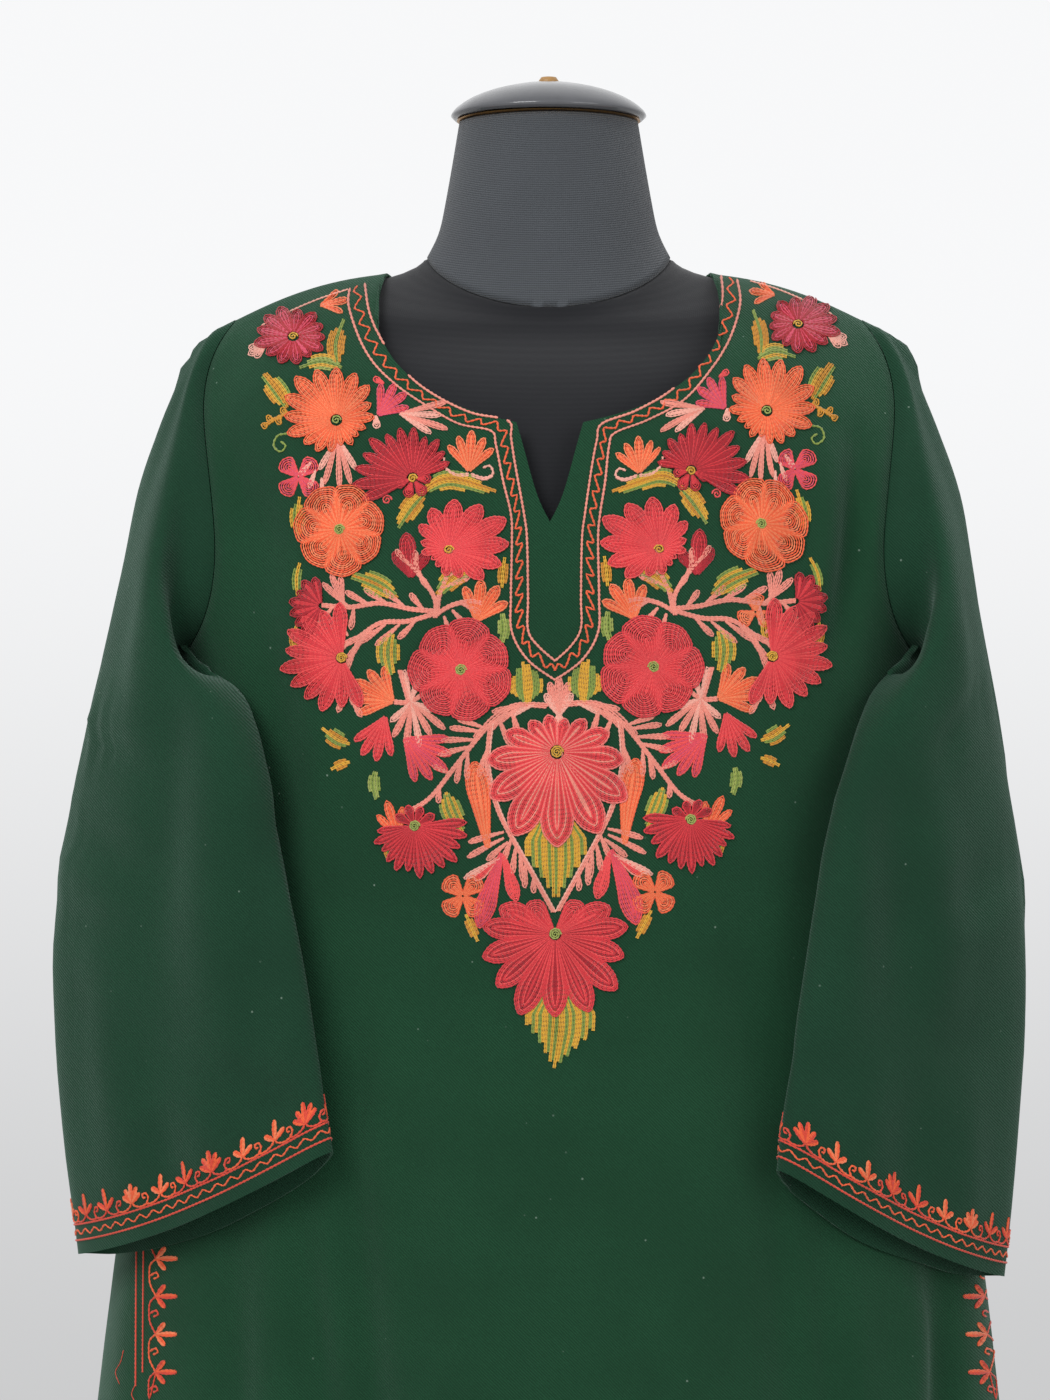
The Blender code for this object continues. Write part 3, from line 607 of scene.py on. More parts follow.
def smoothCopy(node, finish, levels, sharp, uv=False, name=None):
    work = bmesh.new()
    work.from_mesh(nodes[node].data)
    bmesh.ops.remove_doubles(work, verts=work.verts, dist=2e-5)
    bmesh.ops.join_triangles(work, faces=work.faces, angle_face_threshold=math.radians(35),
                             angle_shape_threshold=math.pi)
    crease = work.edges.layers.float.new("crease_edge")
    for edge in work.edges:
        if len(edge.link_faces) == 2 and edge.calc_face_angle(0) > math.radians(sharp):
            edge[crease] = 1.0
    mesh = subdivided(meshFrom(work, node + "Smooth"), levels)
    if uv:
        layer = mesh.uv_layers.new(name="cover")
        for poly in mesh.polygons:
            values = [math.atan2(mesh.vertices[mesh.loops[i].vertex_index].co.x,
                                 -mesh.vertices[mesh.loops[i].vertex_index].co.y) for i in poly.loop_indices]
            if max(values) - min(values) > math.pi:
                values = [v + 2 * math.pi if v < 0 else v for v in values]
            for i, value in zip(poly.loop_indices, values):
                layer.data[i].uv = (value * uv, mesh.vertices[mesh.loops[i].vertex_index].co.z)
    thing = piece(name or node + "Cover", mesh, finish, (node,))
    thing.data.shade_smooth()
    thing.data.set_sharp_from_angle(angle=math.radians(sharp))
    return thing


torso = smoothCopy("form_torso", finishes["torso"], 1, 60, 0.14)
smoothCopy("form_neck", finishes["neck"], 2, 60, 0.07)
smoothCopy("neck_cap", finishes["cap"], 1, 40)
ring = smoothCopy("cap_ring", finishes["ring"], 1, 40)
smoothCopy("cap_knob", finishes["knob"], 1, 40)
smoothCopy("stand_base", finishes["stand"], 1, 30)
smoothCopy("stand_pole", finishes["stand"], 1, 30)
torsoTree = treeOf(torso.data)
print("form and stand made")

layers = {name: clothLayer(name) for name in ("front", "back", "right_sleeve", "left_sleeve")}
rawTrees = {name: treeOf(mesh) for name, mesh in layers.items()}
sleeveTree = treeOf(layers["right_sleeve"], layers["left_sleeve"])


def edgeSpots(mesh, near):  # points of a sheet's edge that lie against another sheet
    counts = {}
    for poly in mesh.polygons:
        for key in poly.edge_keys:
            counts[key] = counts.get(key, 0) + 1
    edge = sorted({i for key, n in counts.items() if n == 1 for i in key})
    return [mesh.vertices[i].co.copy() for i in edge if near.find_nearest(mesh.vertices[i].co,
        0.004)[0] is not None]


bodyTree = treeOf(layers["front"], layers["back"])
seamSpots = {
    "front": edgeSpots(layers["front"], treeOf(layers["back"], layers["right_sleeve"],
    layers["left_sleeve"])),
    "back": edgeSpots(layers["back"], treeOf(layers["front"], layers["right_sleeve"], layers["left_sleeve"])),
    "right_sleeve": edgeSpots(layers["right_sleeve"], bodyTree),
    "left_sleeve": edgeSpots(layers["left_sleeve"], bodyTree),
}
shaped(layers["front"], rawTrees["front"], ((frontCreases, False),), (seamSpots["front"],))
shaped(layers["back"], rawTrees["back"], ((backCreases, True),), (seamSpots["back"],))
for name in ("right_sleeve", "left_sleeve"):
    shaped(layers[name], sleeveTree, ((sleeveFrontCreases, False), (sleeveBackCreases, True)),
        (seamSpots[name],))
for name in ("front", "back"):
    pushOut(layers[name], torsoTree, lambda co: shell["wall"] + 0.0012, 0.02)
bodyTree = treeOf(layers["front"], layers["back"])
armholes = seamSpots["right_sleeve"] + seamSpots["left_sleeve"]


def sleeveRoom(co):
    near = min((co - spot).length for spot in armholes)
    return min(0.0042, shell["wall"] * 0.2 + near * 0.22)


for name in ("right_sleeve", "left_sleeve"):
    pushOut(layers[name], bodyTree, sleeveRoom, 0.03)
    relax(layers[name], 0.35, 2)
    pushOut(layers[name], bodyTree, sleeveRoom, 0.03)
for name in ("front", "back"):
    bodyUv(layers[name])
sleeveUv(layers["right_sleeve"], -1)
sleeveUv(layers["left_sleeve"], 1)
clothTrees = {name: treeOf(mesh) for name, mesh in layers.items()}
cuffRings = {}


def edgeLoop(mesh, low):  # the lowest open edge of a sleeve, in order
    counts = {}
    for poly in mesh.polygons:
        for key in poly.edge_keys:
            counts[key] = counts.get(key, 0) + 1
    links = {}
    for (a, b), n in counts.items():
        if n == 1 and mesh.vertices[a].co.z < low and mesh.vertices[b].co.z < low:
            links.setdefault(a, []).append(b)
            links.setdefault(b, []).append(a)
    start = min(links)
    loop, last = [start], None
    while True:
        ways = [i for i in links[loop[-1]] if i != last]
        last = loop[-1]
        if not ways or ways[0] == start:
            break
        loop.append(ways[0])
    return [mesh.vertices[i].co.copy() for i in loop]


for name in ("right_sleeve", "left_sleeve"):
    cuffRings[name] = edgeLoop(layers[name], 0.93)
cloth = {name: walled(name, layers[name], finishes["body" if name in ("front", "back") else "sleeve"]) for name in layers}
print("cloth shaped")

# needlework

threads = {
    "crimson": "#b4232f", "red": "#e23c44", "coral": "#f65556", "orange": "#fb6a3e", "peach": "#ff8a5c",
    "salmon": "#f79a88", "pink": "#fbb4a2", "blush": "#fb8279", "rose": "#e0506a", "ochre": "#d9962e",
    "yellow": "#e6b03a",
    "leaf": "#8ea24a", "lime": "#a8b45c", "cuffRed": "#e8503a",
}
needle = {  # a stitch in chart squares, the rest in metres
    "stitch": 4.6,
    "width": 0.00063,
    "lift": 0.00030,
    "layer": 0.00070,    # how much higher flowers are than leaves
}
petalRows = {"pitch": 1.75, "inset": 0.8, "tipStep": 1.15, "full": 0.66, "roundFull": 0.70}
leafRows = {"stroke": 3.3, "pair": 0.85, "broad": 20, "fall": 0.42, "broadFall": 0.56, "stagger": 0.07}
rows = {}


def addRow(colour, spots, width=1.0, group="yoke"):
    if len(spots) > 1:
        rows.setdefault((group, colour), []).append((spots, width))


def onFront(u, v):
    return onTree(clothTrees["front"], u, v)


def stitch(colour, path, width=1.0, place=onFront, group="yoke", step=None, above=0.0):
    spots = []
    for u, v in smoothPath(path, step or needle["stitch"] / 2):
        spot, normal = place(u, v)
        if spot is None:
            addRow(colour, spots, width, group)
            spots = []
            continue
        spots.append(spot + normal * (needle["lift"] + above))
    addRow(colour, spots, width, group)


anchors = (  # places on the wearer's right half, and the same places on the left half
    ((294, 338), (796, 325)), ((337, 423), (767, 413)), ((413, 477), (690, 468)), ((299, 476), (792, 468)),
    ((339, 530), (760, 524)), ((448, 548), (660, 548)), ((460, 670), (655, 667)), ((341, 657), (773, 656)),
    ((311, 598), (810, 593)), ((415, 825), (689, 818)), ((472, 442), (639, 450)), ((463, 896), (656, 892)),
    ((555, 560), (556, 560)), ((555, 750), (556, 750)), ((555, 950), (556, 950)), ((390, 780), (721, 776)),
)


def otherHalf(u, v):
    total, du, dv = 0.0, 0.0, 0.0
    for (a, b), (c, d) in anchors:
        weight = 1 / ((u - a) ** 2 + (v - b) ** 2 + 300.0)
        total += weight
        du += weight * (c - (1111 - a))
        dv += weight * (d - b)
    return 1111 - u + du / total, v + dv / total


class Hand:  # one half of the yoke: it turns the chart over for the other half
    def __init__(self, other):
        self.other = other
        self.above = 0.0

    def place(self, u, v):
        return onFront(*otherHalf(u, v)) if self.other else onFront(u, v)

    def row(self, colour, path, width=1.0):
        stitch(colour, path, width, self.place, above=self.above)

    def ring(self, colour, u, v, radius, squash=1.0, width=1.0):
        count = max(8, round(2 * math.pi * radius / 1.75))
        path = [(u + radius * math.cos(2 * math.pi * k / count),
            v + radius * squash * math.sin(2 * math.pi * k / count))
                for k in range(count + 1)]
        self.row(colour, path, width)

    def ball(self, colour, u, v, radius, squash=1.0, centre=None):
        turns = max(1, round(radius / 2.1))
        path = []
        for k in range(turns * 12 + 1):
            r = radius * k / (turns * 12)
            a = 2 * math.pi * k / 12
            path.append((u + r * math.cos(a), v + r * squash * math.sin(a)))
        self.row(colour, path)
        if centre:
            self.row(centre, [(u - 1.2, v), (u + 1.2, v)], 1.5)

    def petal(self, outline, fill, u, v, angle, low, high, half, round_=False, squash=1.0, bend=0.0):
        # angle is clockwise from straight up; rows run up one side of the petal and down the other
        sin, cos = math.sin(math.radians(angle)), math.cos(math.radians(angle))
        fills = fill if isinstance(fill, tuple) else (fill,)
        full = petalRows["roundFull" if round_ else "full"]
        pitch, inset = petalRows["pitch"], petalRows["inset"]
        count = max(1, math.ceil(half / pitch - 0.35))
        for n in range(count):
            wide = max(0.6, half - inset - n * pitch)
            far = high - inset - n * pitch * petalRows["tipStep"]
            if far < low + 2:
                break
            path = []
            for k in range(19):
                t = 1 - abs(k - 9) / 9
                side = -1 if k < 9 else 1
                top = max(0.0, (t - full) / (1 - full))
                spread = (0.16 + 0.84 * t / full) if t < full else (
                    math.sqrt(max(0.0, 1 - top ** 2)) if round_ else (1 - top ** 2.3) ** 0.7)
                reach = low + (far - low) * t
                across = side * wide * spread + bend * t * t
                path.append((u + (sin * reach + cos * across), v + (-cos * reach + sin * across) * squash))
            self.row(outline if n == 0 else fills[(n - 1) % len(fills)], path, 1.0)
        if half - inset - (count - 1) * pitch > 0.9:
            far = high - inset - count * pitch * petalRows["tipStep"]
            path = [(u + sin * r + cos * bend * q, v + (-cos * r + sin * bend * q) * squash)
                    for r, q in ((low, 0), (low + (far - low) * 0.5, 0.25), (low + (far - low), 0.85))]
            self.row(fills[-1], path, 1.1)

    def bloom(self, u, v, petals, low, high, outline, fill, eye=None, eyeSize=4, sweep=(0, 360), half=None,
              round_=False, squash=1.0, turn=0.0, uneven=0.06, eyeRing=None, over=1.0, shift=(0, 0)):
        # shift moves the eye off the middle, so that the petals on one side are longer
        whole = abs(sweep[1] - sweep[0]) >= 360
        self.above = needle["layer"]
        for n in range(petals):
            share = n / petals if whole else n / max(1, petals - 1)
            angle = sweep[0] + (sweep[1] - sweep[0]) * share + turn
            reach = high * (1 + uneven * math.sin(n * 2.4 + u))
            reach -= shift[0] * math.sin(math.radians(angle)) - shift[1] * math.cos(math.radians(angle))
            full = low + (reach - low) * (0.70 if round_ else 0.62)
            sector = abs(sweep[1] - sweep[0]) / (petals if whole else petals - 1) / 57.3 * full / 2
            self.petal(outline, fill, u, v, angle, low, reach, half or sector * 1.13 * over, round_, squash)
        if eye:
            self.above = needle["layer"] * 1.7
            self.ball(eye, u, v, eyeSize * 1.35, squash)
            if eyeRing:
                self.ring(eyeRing, u, v, eyeSize + 2.0, squash)
        self.above = 0.0

    def bud(self, u, v, angle, length, outline, fill, petals=5, spread=46, calyx="leaf", half=None):
        for n in range(petals):
            share = (n / (petals - 1) - 0.5) * 2 if petals > 1 else 0.0
            long = length * (1 - 0.18 * abs(share))
            wide = half or max(2.4, 1.05 * spread / max(1, petals - 1) / 57.3 * long * 0.68)
            self.petal(outline, fill, u, v, angle + spread * share, 1.0, long, wide, True, bend=2.5 * share)
        if calyx:
            for side in (-1, 1):
                a, b, c = (math.radians(angle + side * turn) for turn in (112, 82, 60))
                path = [(u, v)]
                path += [(u + r * math.sin(q), v - r * math.cos(q)) for r, q in ((5, a), (10, b), (14, c))]
                self.row(calyx, path, 1.25)

    def leaf(self, path, half, colours):
        # a leaf of thick strokes side by side, longest along the middle, each two rows wide
        line = smoothPath(path, 1.5)
        last = len(line) - 1
        broad = half >= leafRows["broad"]
        fall = leafRows["broadFall" if broad else "fall"]
        strokes = max(2, round(2 * half / leafRows["stroke"]))
        for n in range(strokes):
            side = (n + 0.5) / strokes * 2 - 1
            start = 0 if broad else round(last * 0.30 * abs(side) ** 1.5)
            end = round(last * (1 - fall * abs(side) ** 1.2 - (leafRows["stagger"] if n % 2 else 0.0)))
            colour = colours[n % len(colours)]
            for pair in (-leafRows["pair"], leafRows["pair"]):
                part = []
                for k in range(start, end + 1):
                    a, b = line[max(0, k - 1)], line[min(last, k + 1)]
                    length = math.dist(a, b) or 1.0
                    t = k / last
                    taper = 1 - 0.30 * max(0.0, t - 0.55) / 0.45
                    wide = side * half * min(1.0, 0.45 + 1.9 * t) * taper + pair
                    u, v = line[k]
                    part.append((u - (b[1] - a[1]) / length * wide, v + (b[0] - a[0]) / length * wide))
                if len(part) > 2:
                    self.row(colour, part[::4] + ([part[-1]] if (len(part) - 1) % 4 else []))

    def frond(self, colour, u, v, angle, length, half=3.3, bend=0.0):
        self.petal(colour, colour, u, v, angle, 0.0, length * 1.12, half * 1.25, True, bend=bend)

    def spray(self, path, colour, leafColour, size=18.0, every=7.0, width=1.3, ends=True, sides=(1, -1),
            lean=38):
        # a double stem with thick fronds leaning forward on its sides
        for offset in (-0.9, 0.9):
            self.row(colour, [(u + offset, v + offset * 0.4) for u, v in path], width)
        line = smoothPath(path, 1.5)
        gap = max(1, round(every / 1.5))
        turn = 0
        for k in range(gap, len(line) - 1, gap):
            a, b = line[k - 1], line[k + 1]
            along = math.degrees(math.atan2(b[0] - a[0], -(b[1] - a[1])))
            side = sides[turn % len(sides)]
            turn += 1
            length = size * (1.05 - 0.35 * k / len(line)) * (1 + 0.12 * math.sin(k * 1.3))
            self.frond(leafColour, line[k][0], line[k][1], along + side * lean, length, bend=1.5 * side)
        if ends:
            a, b = line[-3], line[-1]
            along = math.degrees(math.atan2(b[0] - a[0], -(b[1] - a[1])))
            self.frond(leafColour, b[0], b[1], along, size * 0.7)


def halfYoke(hand):
    # shoulder group
    hand.bloom(294, 338, 13, 6, 36, "crimson", ("crimson", "rose"), "yellow", 3.5, squash=0.80,
        shift=(3, 2), turn=8)
    for angle, long in ((-118, 18), (-98, 16), (-138, 15)):
        hand.frond("pink", 266, 346, angle, long)
    hand.bud(320, 306, 78, 30, "peach", ("orange", "peach"), 3, 22, None)
    hand.row("pink", [(262, 326), (290, 312), (318, 300), (348, 290)], 1.2)
    hand.leaf([(338, 366), (336, 344), (344, 320)], 9, ("ochre", "ochre", "leaf"))
    hand.leaf([(342, 368), (322, 362), (300, 368)], 8, ("lime", "yellow", "leaf"))
    hand.leaf([(288, 408), (278, 392), (262, 372)], 11, ("ochre", "yellow", "leaf", "ochre"))
    hand.spray([(296, 414), (282, 416), (268, 424)], "ochre", "ochre", 9, 8)
    hand.row("leaf", [(288, 434), (278, 436), (274, 446), (281, 452), (286, 446), (281, 442)], 1.3)
    # orange daisy
    hand.bloom(337, 421, 17, 6, 44, "orange", ("peach", "orange"), "lime", 3.5, shift=(9, 13), squash=0.96)
    hand.bud(378, 416, 40, 40, "rose", ("coral", "rose"), 4, 30, None)
    hand.frond("coral", 384, 384, -60, 11, 3)
    for angle, long in ((76, 44), (92, 38), (108, 46), (122, 34)):
        hand.frond("pink" if long < 40 else "salmon", 400, 414, angle, long, 2.8)
    hand.frond("pink", 376, 416, 175, 12, 3.5)
    for angle, long in ((178, 46), (196, 44), (164, 44), (210, 34), (150, 34)):
        hand.frond("salmon" if long > 40 else "pink", 338, 438, angle, long, 2.6)
    for u, v, angle in ((316, 470, 200), (322, 478, 178), (312, 462, 222)):
        hand.frond("pink", u, v, angle, 18, 2.4)
    # dark red fan
    hand.bloom(413, 479, 12, 6, 50, "crimson", ("red", "crimson", "crimson"), "yellow", 3.5, (-112, 66),
        shift=(9, 0))
    hand.bloom(413, 479, 4, 4, 20, "crimson", "red", None, 4, (90, 250), over=0.8)
    hand.ball("yellow", 413, 479, 3.6)
    hand.bud(469, 472, 4, 42, "peach", ("orange", "peach"), 5, 38, None)
    for path in ([(469, 474), (456, 474), (446, 468), (444, 458)],
            [(471, 474), (484, 478), (493, 474), (490, 466), (483, 468)]):
        hand.row("pink", path, 1.4)
        hand.row("pink", [(u, v + 1.8) for u, v in path[:3]], 1.3)
    for k in range(4):
        hand.petal("coral", ("rose", "coral"), 299, 477, 45 + 90 * k, 1, 24, 9.5, True)
    hand.leaf([(300, 536), (298, 516), (300, 497)], 8, ("yellow", "leaf", "yellow"))
    hand.leaf([(420, 494), (450, 480), (500, 494)], 9.5, ("leaf", "yellow", "ochre", "yellow"))
    hand.leaf([(426, 492), (412, 506), (396, 530)], 10, ("yellow", "ochre", "leaf", "yellow"))
    hand.ball("coral", 387, 500, 5)
    # round orange flower
    hand.bloom(340, 530, 7, 4, 46, "orange", ("peach", "orange", "orange", "peach"), "lime", 4, round_=True,
        uneven=0.03, turn=20,
               over=1.1)
    # coral daisy
    hand.bloom(449, 550, 14, 5, 44, "coral", ("red", "coral"), "yellow", 3.8, shift=(-17, 13), squash=0.86,
        turn=6)
    hand.petal("crimson", ("red", "crimson"), 411, 578, -6, 1, 46, 8.5)
    for side in (-1, 1):
        hand.petal("crimson", "crimson", 411, 578, side * 34, 1, 32, 6)
    # branch with fronds
    for du in (-2.2, -0.7, 0.8):
        hand.row("salmon", [(436 + du, 618), (436 + du, 600), (424 + du, 580), (406 + du, 560)], 1.2)
        hand.row("salmon", [(438 + du, 616), (440 + du, 596), (448 + du, 574), (446 + du, 556)], 1.2)
        hand.row("salmon", [(438, 614 + du), (452, 606 + du), (470, 602 + du), (482, 604 + du)], 1.2)
        hand.row("salmon", [(438, 612 + du), (412, 610 + du), (380, 604 + du), (350, 608 + du),
            (322, 606 + du)], 1.2)
        hand.row("salmon", [(436, 614 + du), (408, 622 + du), (380, 624 + du), (356, 640 + du)], 1.2)
    for u, v, angle, long in (
        (418, 574, 350, 22), (424, 582, 330, 24), (410, 566, 315, 20), (434, 594, 318, 20),
        (446, 560, 20, 14),
        (450, 576, 50, 22), (444, 588, 64, 26), (462, 604, 112, 20), (452, 610, 136, 22), (444, 616, 160, 22),
        (424, 610, 316, 20), (404, 606, 306, 24), (388, 604, 300, 26), (372, 606, 296, 28),
        (350, 608, 310, 34),
        (346, 608, 334, 34), (344, 604, 350, 26), (334, 606, 220, 26), (344, 608, 200, 30),
        (354, 606, 184, 22),
        (416, 620, 220, 24), (400, 624, 226, 30), (386, 624, 232, 30), (372, 630, 240, 32),
        (366, 634, 214, 30),
        (358, 640, 200, 34), (352, 642, 250, 26), (346, 646, 228, 22)):
        hand.frond(("salmon", "pink")[round(u) % 2], u, v, angle, long, 2.7, bend=1.5)
    hand.leaf([(398, 598), (376, 584), (348, 574)], 11, ("leaf", "yellow", "leaf", "ochre"))
    hand.leaf([(436, 596), (456, 576), (484, 566)], 10, ("yellow", "leaf", "ochre"))
    hand.bud(476, 622, 20, 46, "peach", ("orange", "peach"), 4, 34, None)
    hand.leaf([(502, 588), (503, 572), (505, 556)], 5.5, ("ochre", "yellow"))
    hand.leaf([(502, 612), (504, 630), (500, 648)], 6, ("leaf", "lime"))
    # side flowers
    hand.bloom(322, 606, 7, 3, 34, "crimson", ("crimson", "red"), None, 4, (-150, -14), shift=(-2, -3),
        over=1.2)
    hand.bloom(342, 658, 11, 6, 56, "coral", ("red", "coral", "red"), "yellow", 4, (-196, 2), shift=(4, 0),
        squash=0.94, turn=-4)
    for u, v, angle, long in ((344, 628, 300, 20), (348, 636, 328, 22), (346, 690, 200, 22),
            (350, 684, 170, 20), (352, 700, 150, 18)):
        hand.frond("salmon", u, v, angle, long, 2.7)
    hand.leaf([(298, 596), (297, 578), (301, 560)], 4.5, ("leaf", "yellow"))
    hand.leaf([(296, 652), (294, 638), (298, 622)], 4.5, ("ochre", "yellow"))
    hand.leaf([(392, 632), (388, 652), (392, 678)], 12, ("yellow", "leaf", "yellow", "leaf"))
    # big round red flower
    hand.bloom(461, 670, 7, 4, 52, "red", ("coral", "red", "coral", "red"), "lime", 4.2, round_=True,
        uneven=0.03, turn=12, over=1.1)
    hand.bud(394, 702, -62, 46, "peach", ("orange", "peach"), 5, 42, None)
    for du in (-1.6, 0.0, 1.6):
        hand.row("salmon", [(394, 702 + du), (410, 702 + du), (426, 692 + du)], 1.2)
        hand.row("salmon", [(409 + du, 702), (404 + du, 684), (400 + du, 670)], 1.2)
    for angle, long in ((126, 40), (146, 36), (166, 42), (184, 40), (204, 36), (222, 26), (108, 22),
            (345, 30), (15, 22)):
        hand.frond(("salmon", "pink")[long % 4 // 2], 411, 702, angle, long, 2.9, bend=2)
    hand.bud(386, 716, -158, 50, "coral", ("red", "coral"), 4, 26, None)
    hand.leaf([(350, 744), (338, 740), (322, 728)], 9, ("ochre", "leaf", "yellow"))
    hand.leaf([(350, 762), (342, 764), (330, 770)], 5, ("ochre", "yellow"))
    hand.leaf([(376, 770), (374, 784), (378, 802)], 6, ("leaf", "lime"))
    hand.bud(404, 738, 128, 56, "coral", ("rose", "coral"), 5, 34, None)
    hand.leaf([(527, 704), (526, 682), (524, 660)], 17, ("yellow", "yellow", "leaf", "leaf", "yellow"))
    # arching stems
    for d in (-2.0, -0.2, 1.6):
        hand.row("salmon", [(548 - d, 706 + d), (515, 706 + d), (492 + d, 721 + d), (473 + d, 744),
            (456 + d, 766), (431 + d, 797),
                            (408 + d, 813 + d)], 1.2)
        hand.row("salmon" if d < 1 else "pink", [(492 + d, 722), (489 + d, 745), (489 + d, 772),
            (498 + d, 808), (512 + d, 837),
                                                  (532 + d, 872), (554 + d, 912)], 1.2)
    for u, v, angle, long in (
        (534, 705, 250, 24), (524, 706, 262, 30), (520, 708, 240, 26), (508, 712, 228, 26),
        (500, 718, 236, 30),
        (482, 732, 280, 30), (476, 740, 272, 32), (474, 746, 258, 34), (484, 728, 292, 26),
        (462, 758, 196, 24),
        (468, 752, 184, 26), (450, 774, 300, 18), (440, 786, 190, 16), (488, 742, 186, 32),
        (486, 752, 200, 24),
        (498, 716, 160, 30), (512, 710, 168, 22), (504, 832, 256, 34), (504, 838, 244, 38),
        (508, 842, 232, 26),
        (516, 846, 190, 26), (520, 852, 176, 28), (526, 862, 186, 24), (512, 838, 204, 22),
        (534, 876, 186, 16)):
        hand.frond(("salmon", "pink")[round(u + v) % 2], u, v, angle, long, 2.6, bend=-1.5)
    hand.petal("orange", ("peach", "orange", "peach"), 488, 848, -9, 0, 88, 12.5, True)
    hand.leaf([(446, 792), (452, 812), (464, 834)], 11, ("leaf", "yellow", "leaf", "yellow"))
    # lower side flower
    hand.bloom(415, 826, 13, 5, 46, "red", ("crimson", "red"), "lime", 4, (86, 262), shift=(-6, -4),
        over=1.05)
    hand.bloom(415, 826, 4, 4, 22, "red", "crimson", None, 4, (-60, 60), over=0.8)
    hand.ball("lime", 415, 826, 3.8)
    hand.bud(400, 842, -18, 44, "orange", ("peach", "orange"), 3, 18, None)
    hand.leaf([(390, 838), (388, 850), (392, 862)], 4.5, ("ochre", "leaf"))
    # tulip and four-petalled orange flower
    hand.petal("coral", ("rose", "coral"), 502, 852, 197, 1, 80, 10.5)
    hand.petal("coral", "coral", 503, 854, 164, 1, 50, 7)
    hand.petal("salmon", "coral", 500, 856, 226, 1, 36, 5)
    hand.frond("pink", 500, 858, 240, 38, 2.8)
    for k in range(4):
        hand.petal("orange", ("peach", "orange"), 463, 896, 45 + 90 * k, 1, 25, 10.5, True)
    hand.leaf([(466, 914), (471, 926), (479, 944)], 5, ("ochre", "yellow"))


def centreYoke():
    hand = Hand(False)
    for angle, long in ((0, 36), (-16, 32), (16, 32), (-32, 24), (30, 24)):
        hand.frond("salmon" if long > 30 else "pink", 559, 716, angle, long, 3.6)
    for angle in (165, 195, 180):
        hand.frond("pink", 559, 712, angle, 14, 2.8)
    # feather leaf behind the dahlia, then the dahlia
    hand.leaf([(554, 815), (556, 855), (556, 900)], 31, ("yellow", "leaf", "yellow", "yellow", "leaf"))
    hand.bloom(557, 752, 13, 7, 66, "blush", ("coral", "red", "coral", "salmon"), "yellow", 4.6,
        shift=(0, -30), turn=13.8,
               uneven=0.03, over=1.0)
    hand.row("pink", [(558, 720), (562, 745), (561, 775)], 1.2)
    # leaf and flower at the bottom
    hand.leaf([(559, 990), (560, 1025), (554, 1068)], 35, ("yellow", "leaf", "yellow", "leaf", "yellow"))
    hand.bloom(555, 934, 9, 6, 72, "red", ("red", "coral", "crimson"), "lime", 4.4, (84, 276),
        shift=(0, -14), uneven=0.05,
               over=1.0)
    for side in (-1, 1):
        hand.petal("red", ("coral", "red", "red"), 555, 934, side * 64, 3, 62, 13, bend=-9 * side * 0)
        hand.petal("red", ("coral", "red"), 555, 934, side * 40, 3, 42, 12, True)
    hand.ball("lime", 555, 934, 4.6)
    # a few on the wearer's left only
    for k in range(3):
        hand.petal("orange", "peach", 755, 612, 120 * k, 1, 19, 9.5, True)
    hand.leaf([(766, 618), (764, 630), (768, 642)], 4, ("ochre", "yellow"))


def band(paths, lineColour, waveColour, place, group, wave=17.0, rise=0.22):
    # two chain lines with a wavy one between them
    inner, outer = (smoothPath(path, 2.0) for path in paths)
    stitch(lineColour, inner, 1.45, place, group)
    stitch(lineColour, outer, 1.45, place, group)
    length = sum(math.dist(a, b) for a, b in zip(outer, outer[1:]))
    count = 4 * max(2, round(length / wave))
    path = []
    for k in range(count + 1):
        across = 0.5 + rise * math.sin(math.pi * k / 2)
        p = inner[round(k / count * (len(inner) - 1))]
        q = outer[round(k / count * (len(outer) - 1))]
        path.append((p[0] + (q[0] - p[0]) * across, p[1] + (q[1] - p[1]) * across))
    stitch(waveColour, path, 1.2, place, group)


neckBand = {
    "innerRight": [(365, 284), (370, 314), (384, 344), (407, 374), (434, 395), (471, 413), (508, 421),
    (511, 438),
                   (515, 464), (524, 514), (527, 540), (528, 597), (528, 630), (538, 646), (555, 661)],
    "outerRight": [(350, 289), (349, 307), (361, 342), (377, 367), (400, 388), (430, 408), (459, 424),
    (491, 431),
                   (496, 445), (503, 480), (511, 514), (512, 540), (511, 597), (512, 632), (528, 660),
                   (555, 680)],
    "innerLeft": [(721, 276), (722, 300), (712, 334), (697, 362), (672, 390), (636, 411), (602, 424),
    (597, 440),
                  (592, 466), (585, 514), (582, 540), (581, 597), (581, 628), (571, 646), (555, 661)],
    "outerLeft": [(737, 280), (740, 304), (730, 338), (712, 368), (684, 400), (648, 420), (615, 433),
    (609, 446),
                  (605, 482), (600, 514), (598, 540), (599, 597), (598, 632), (582, 660), (555, 680)],
}

for other in (False, True):
    halfYoke(Hand(other))
centreYoke()
band((neckBand["innerRight"], neckBand["outerRight"]), "salmon", "orange", onFront, "neckline")
band((neckBand["innerLeft"], neckBand["outerLeft"]), "salmon", "orange", onFront, "neckline")
print("yoke stitched")

# cuffs: u runs round the sleeve, v up from the edge, both in chart squares

square = 0.00061


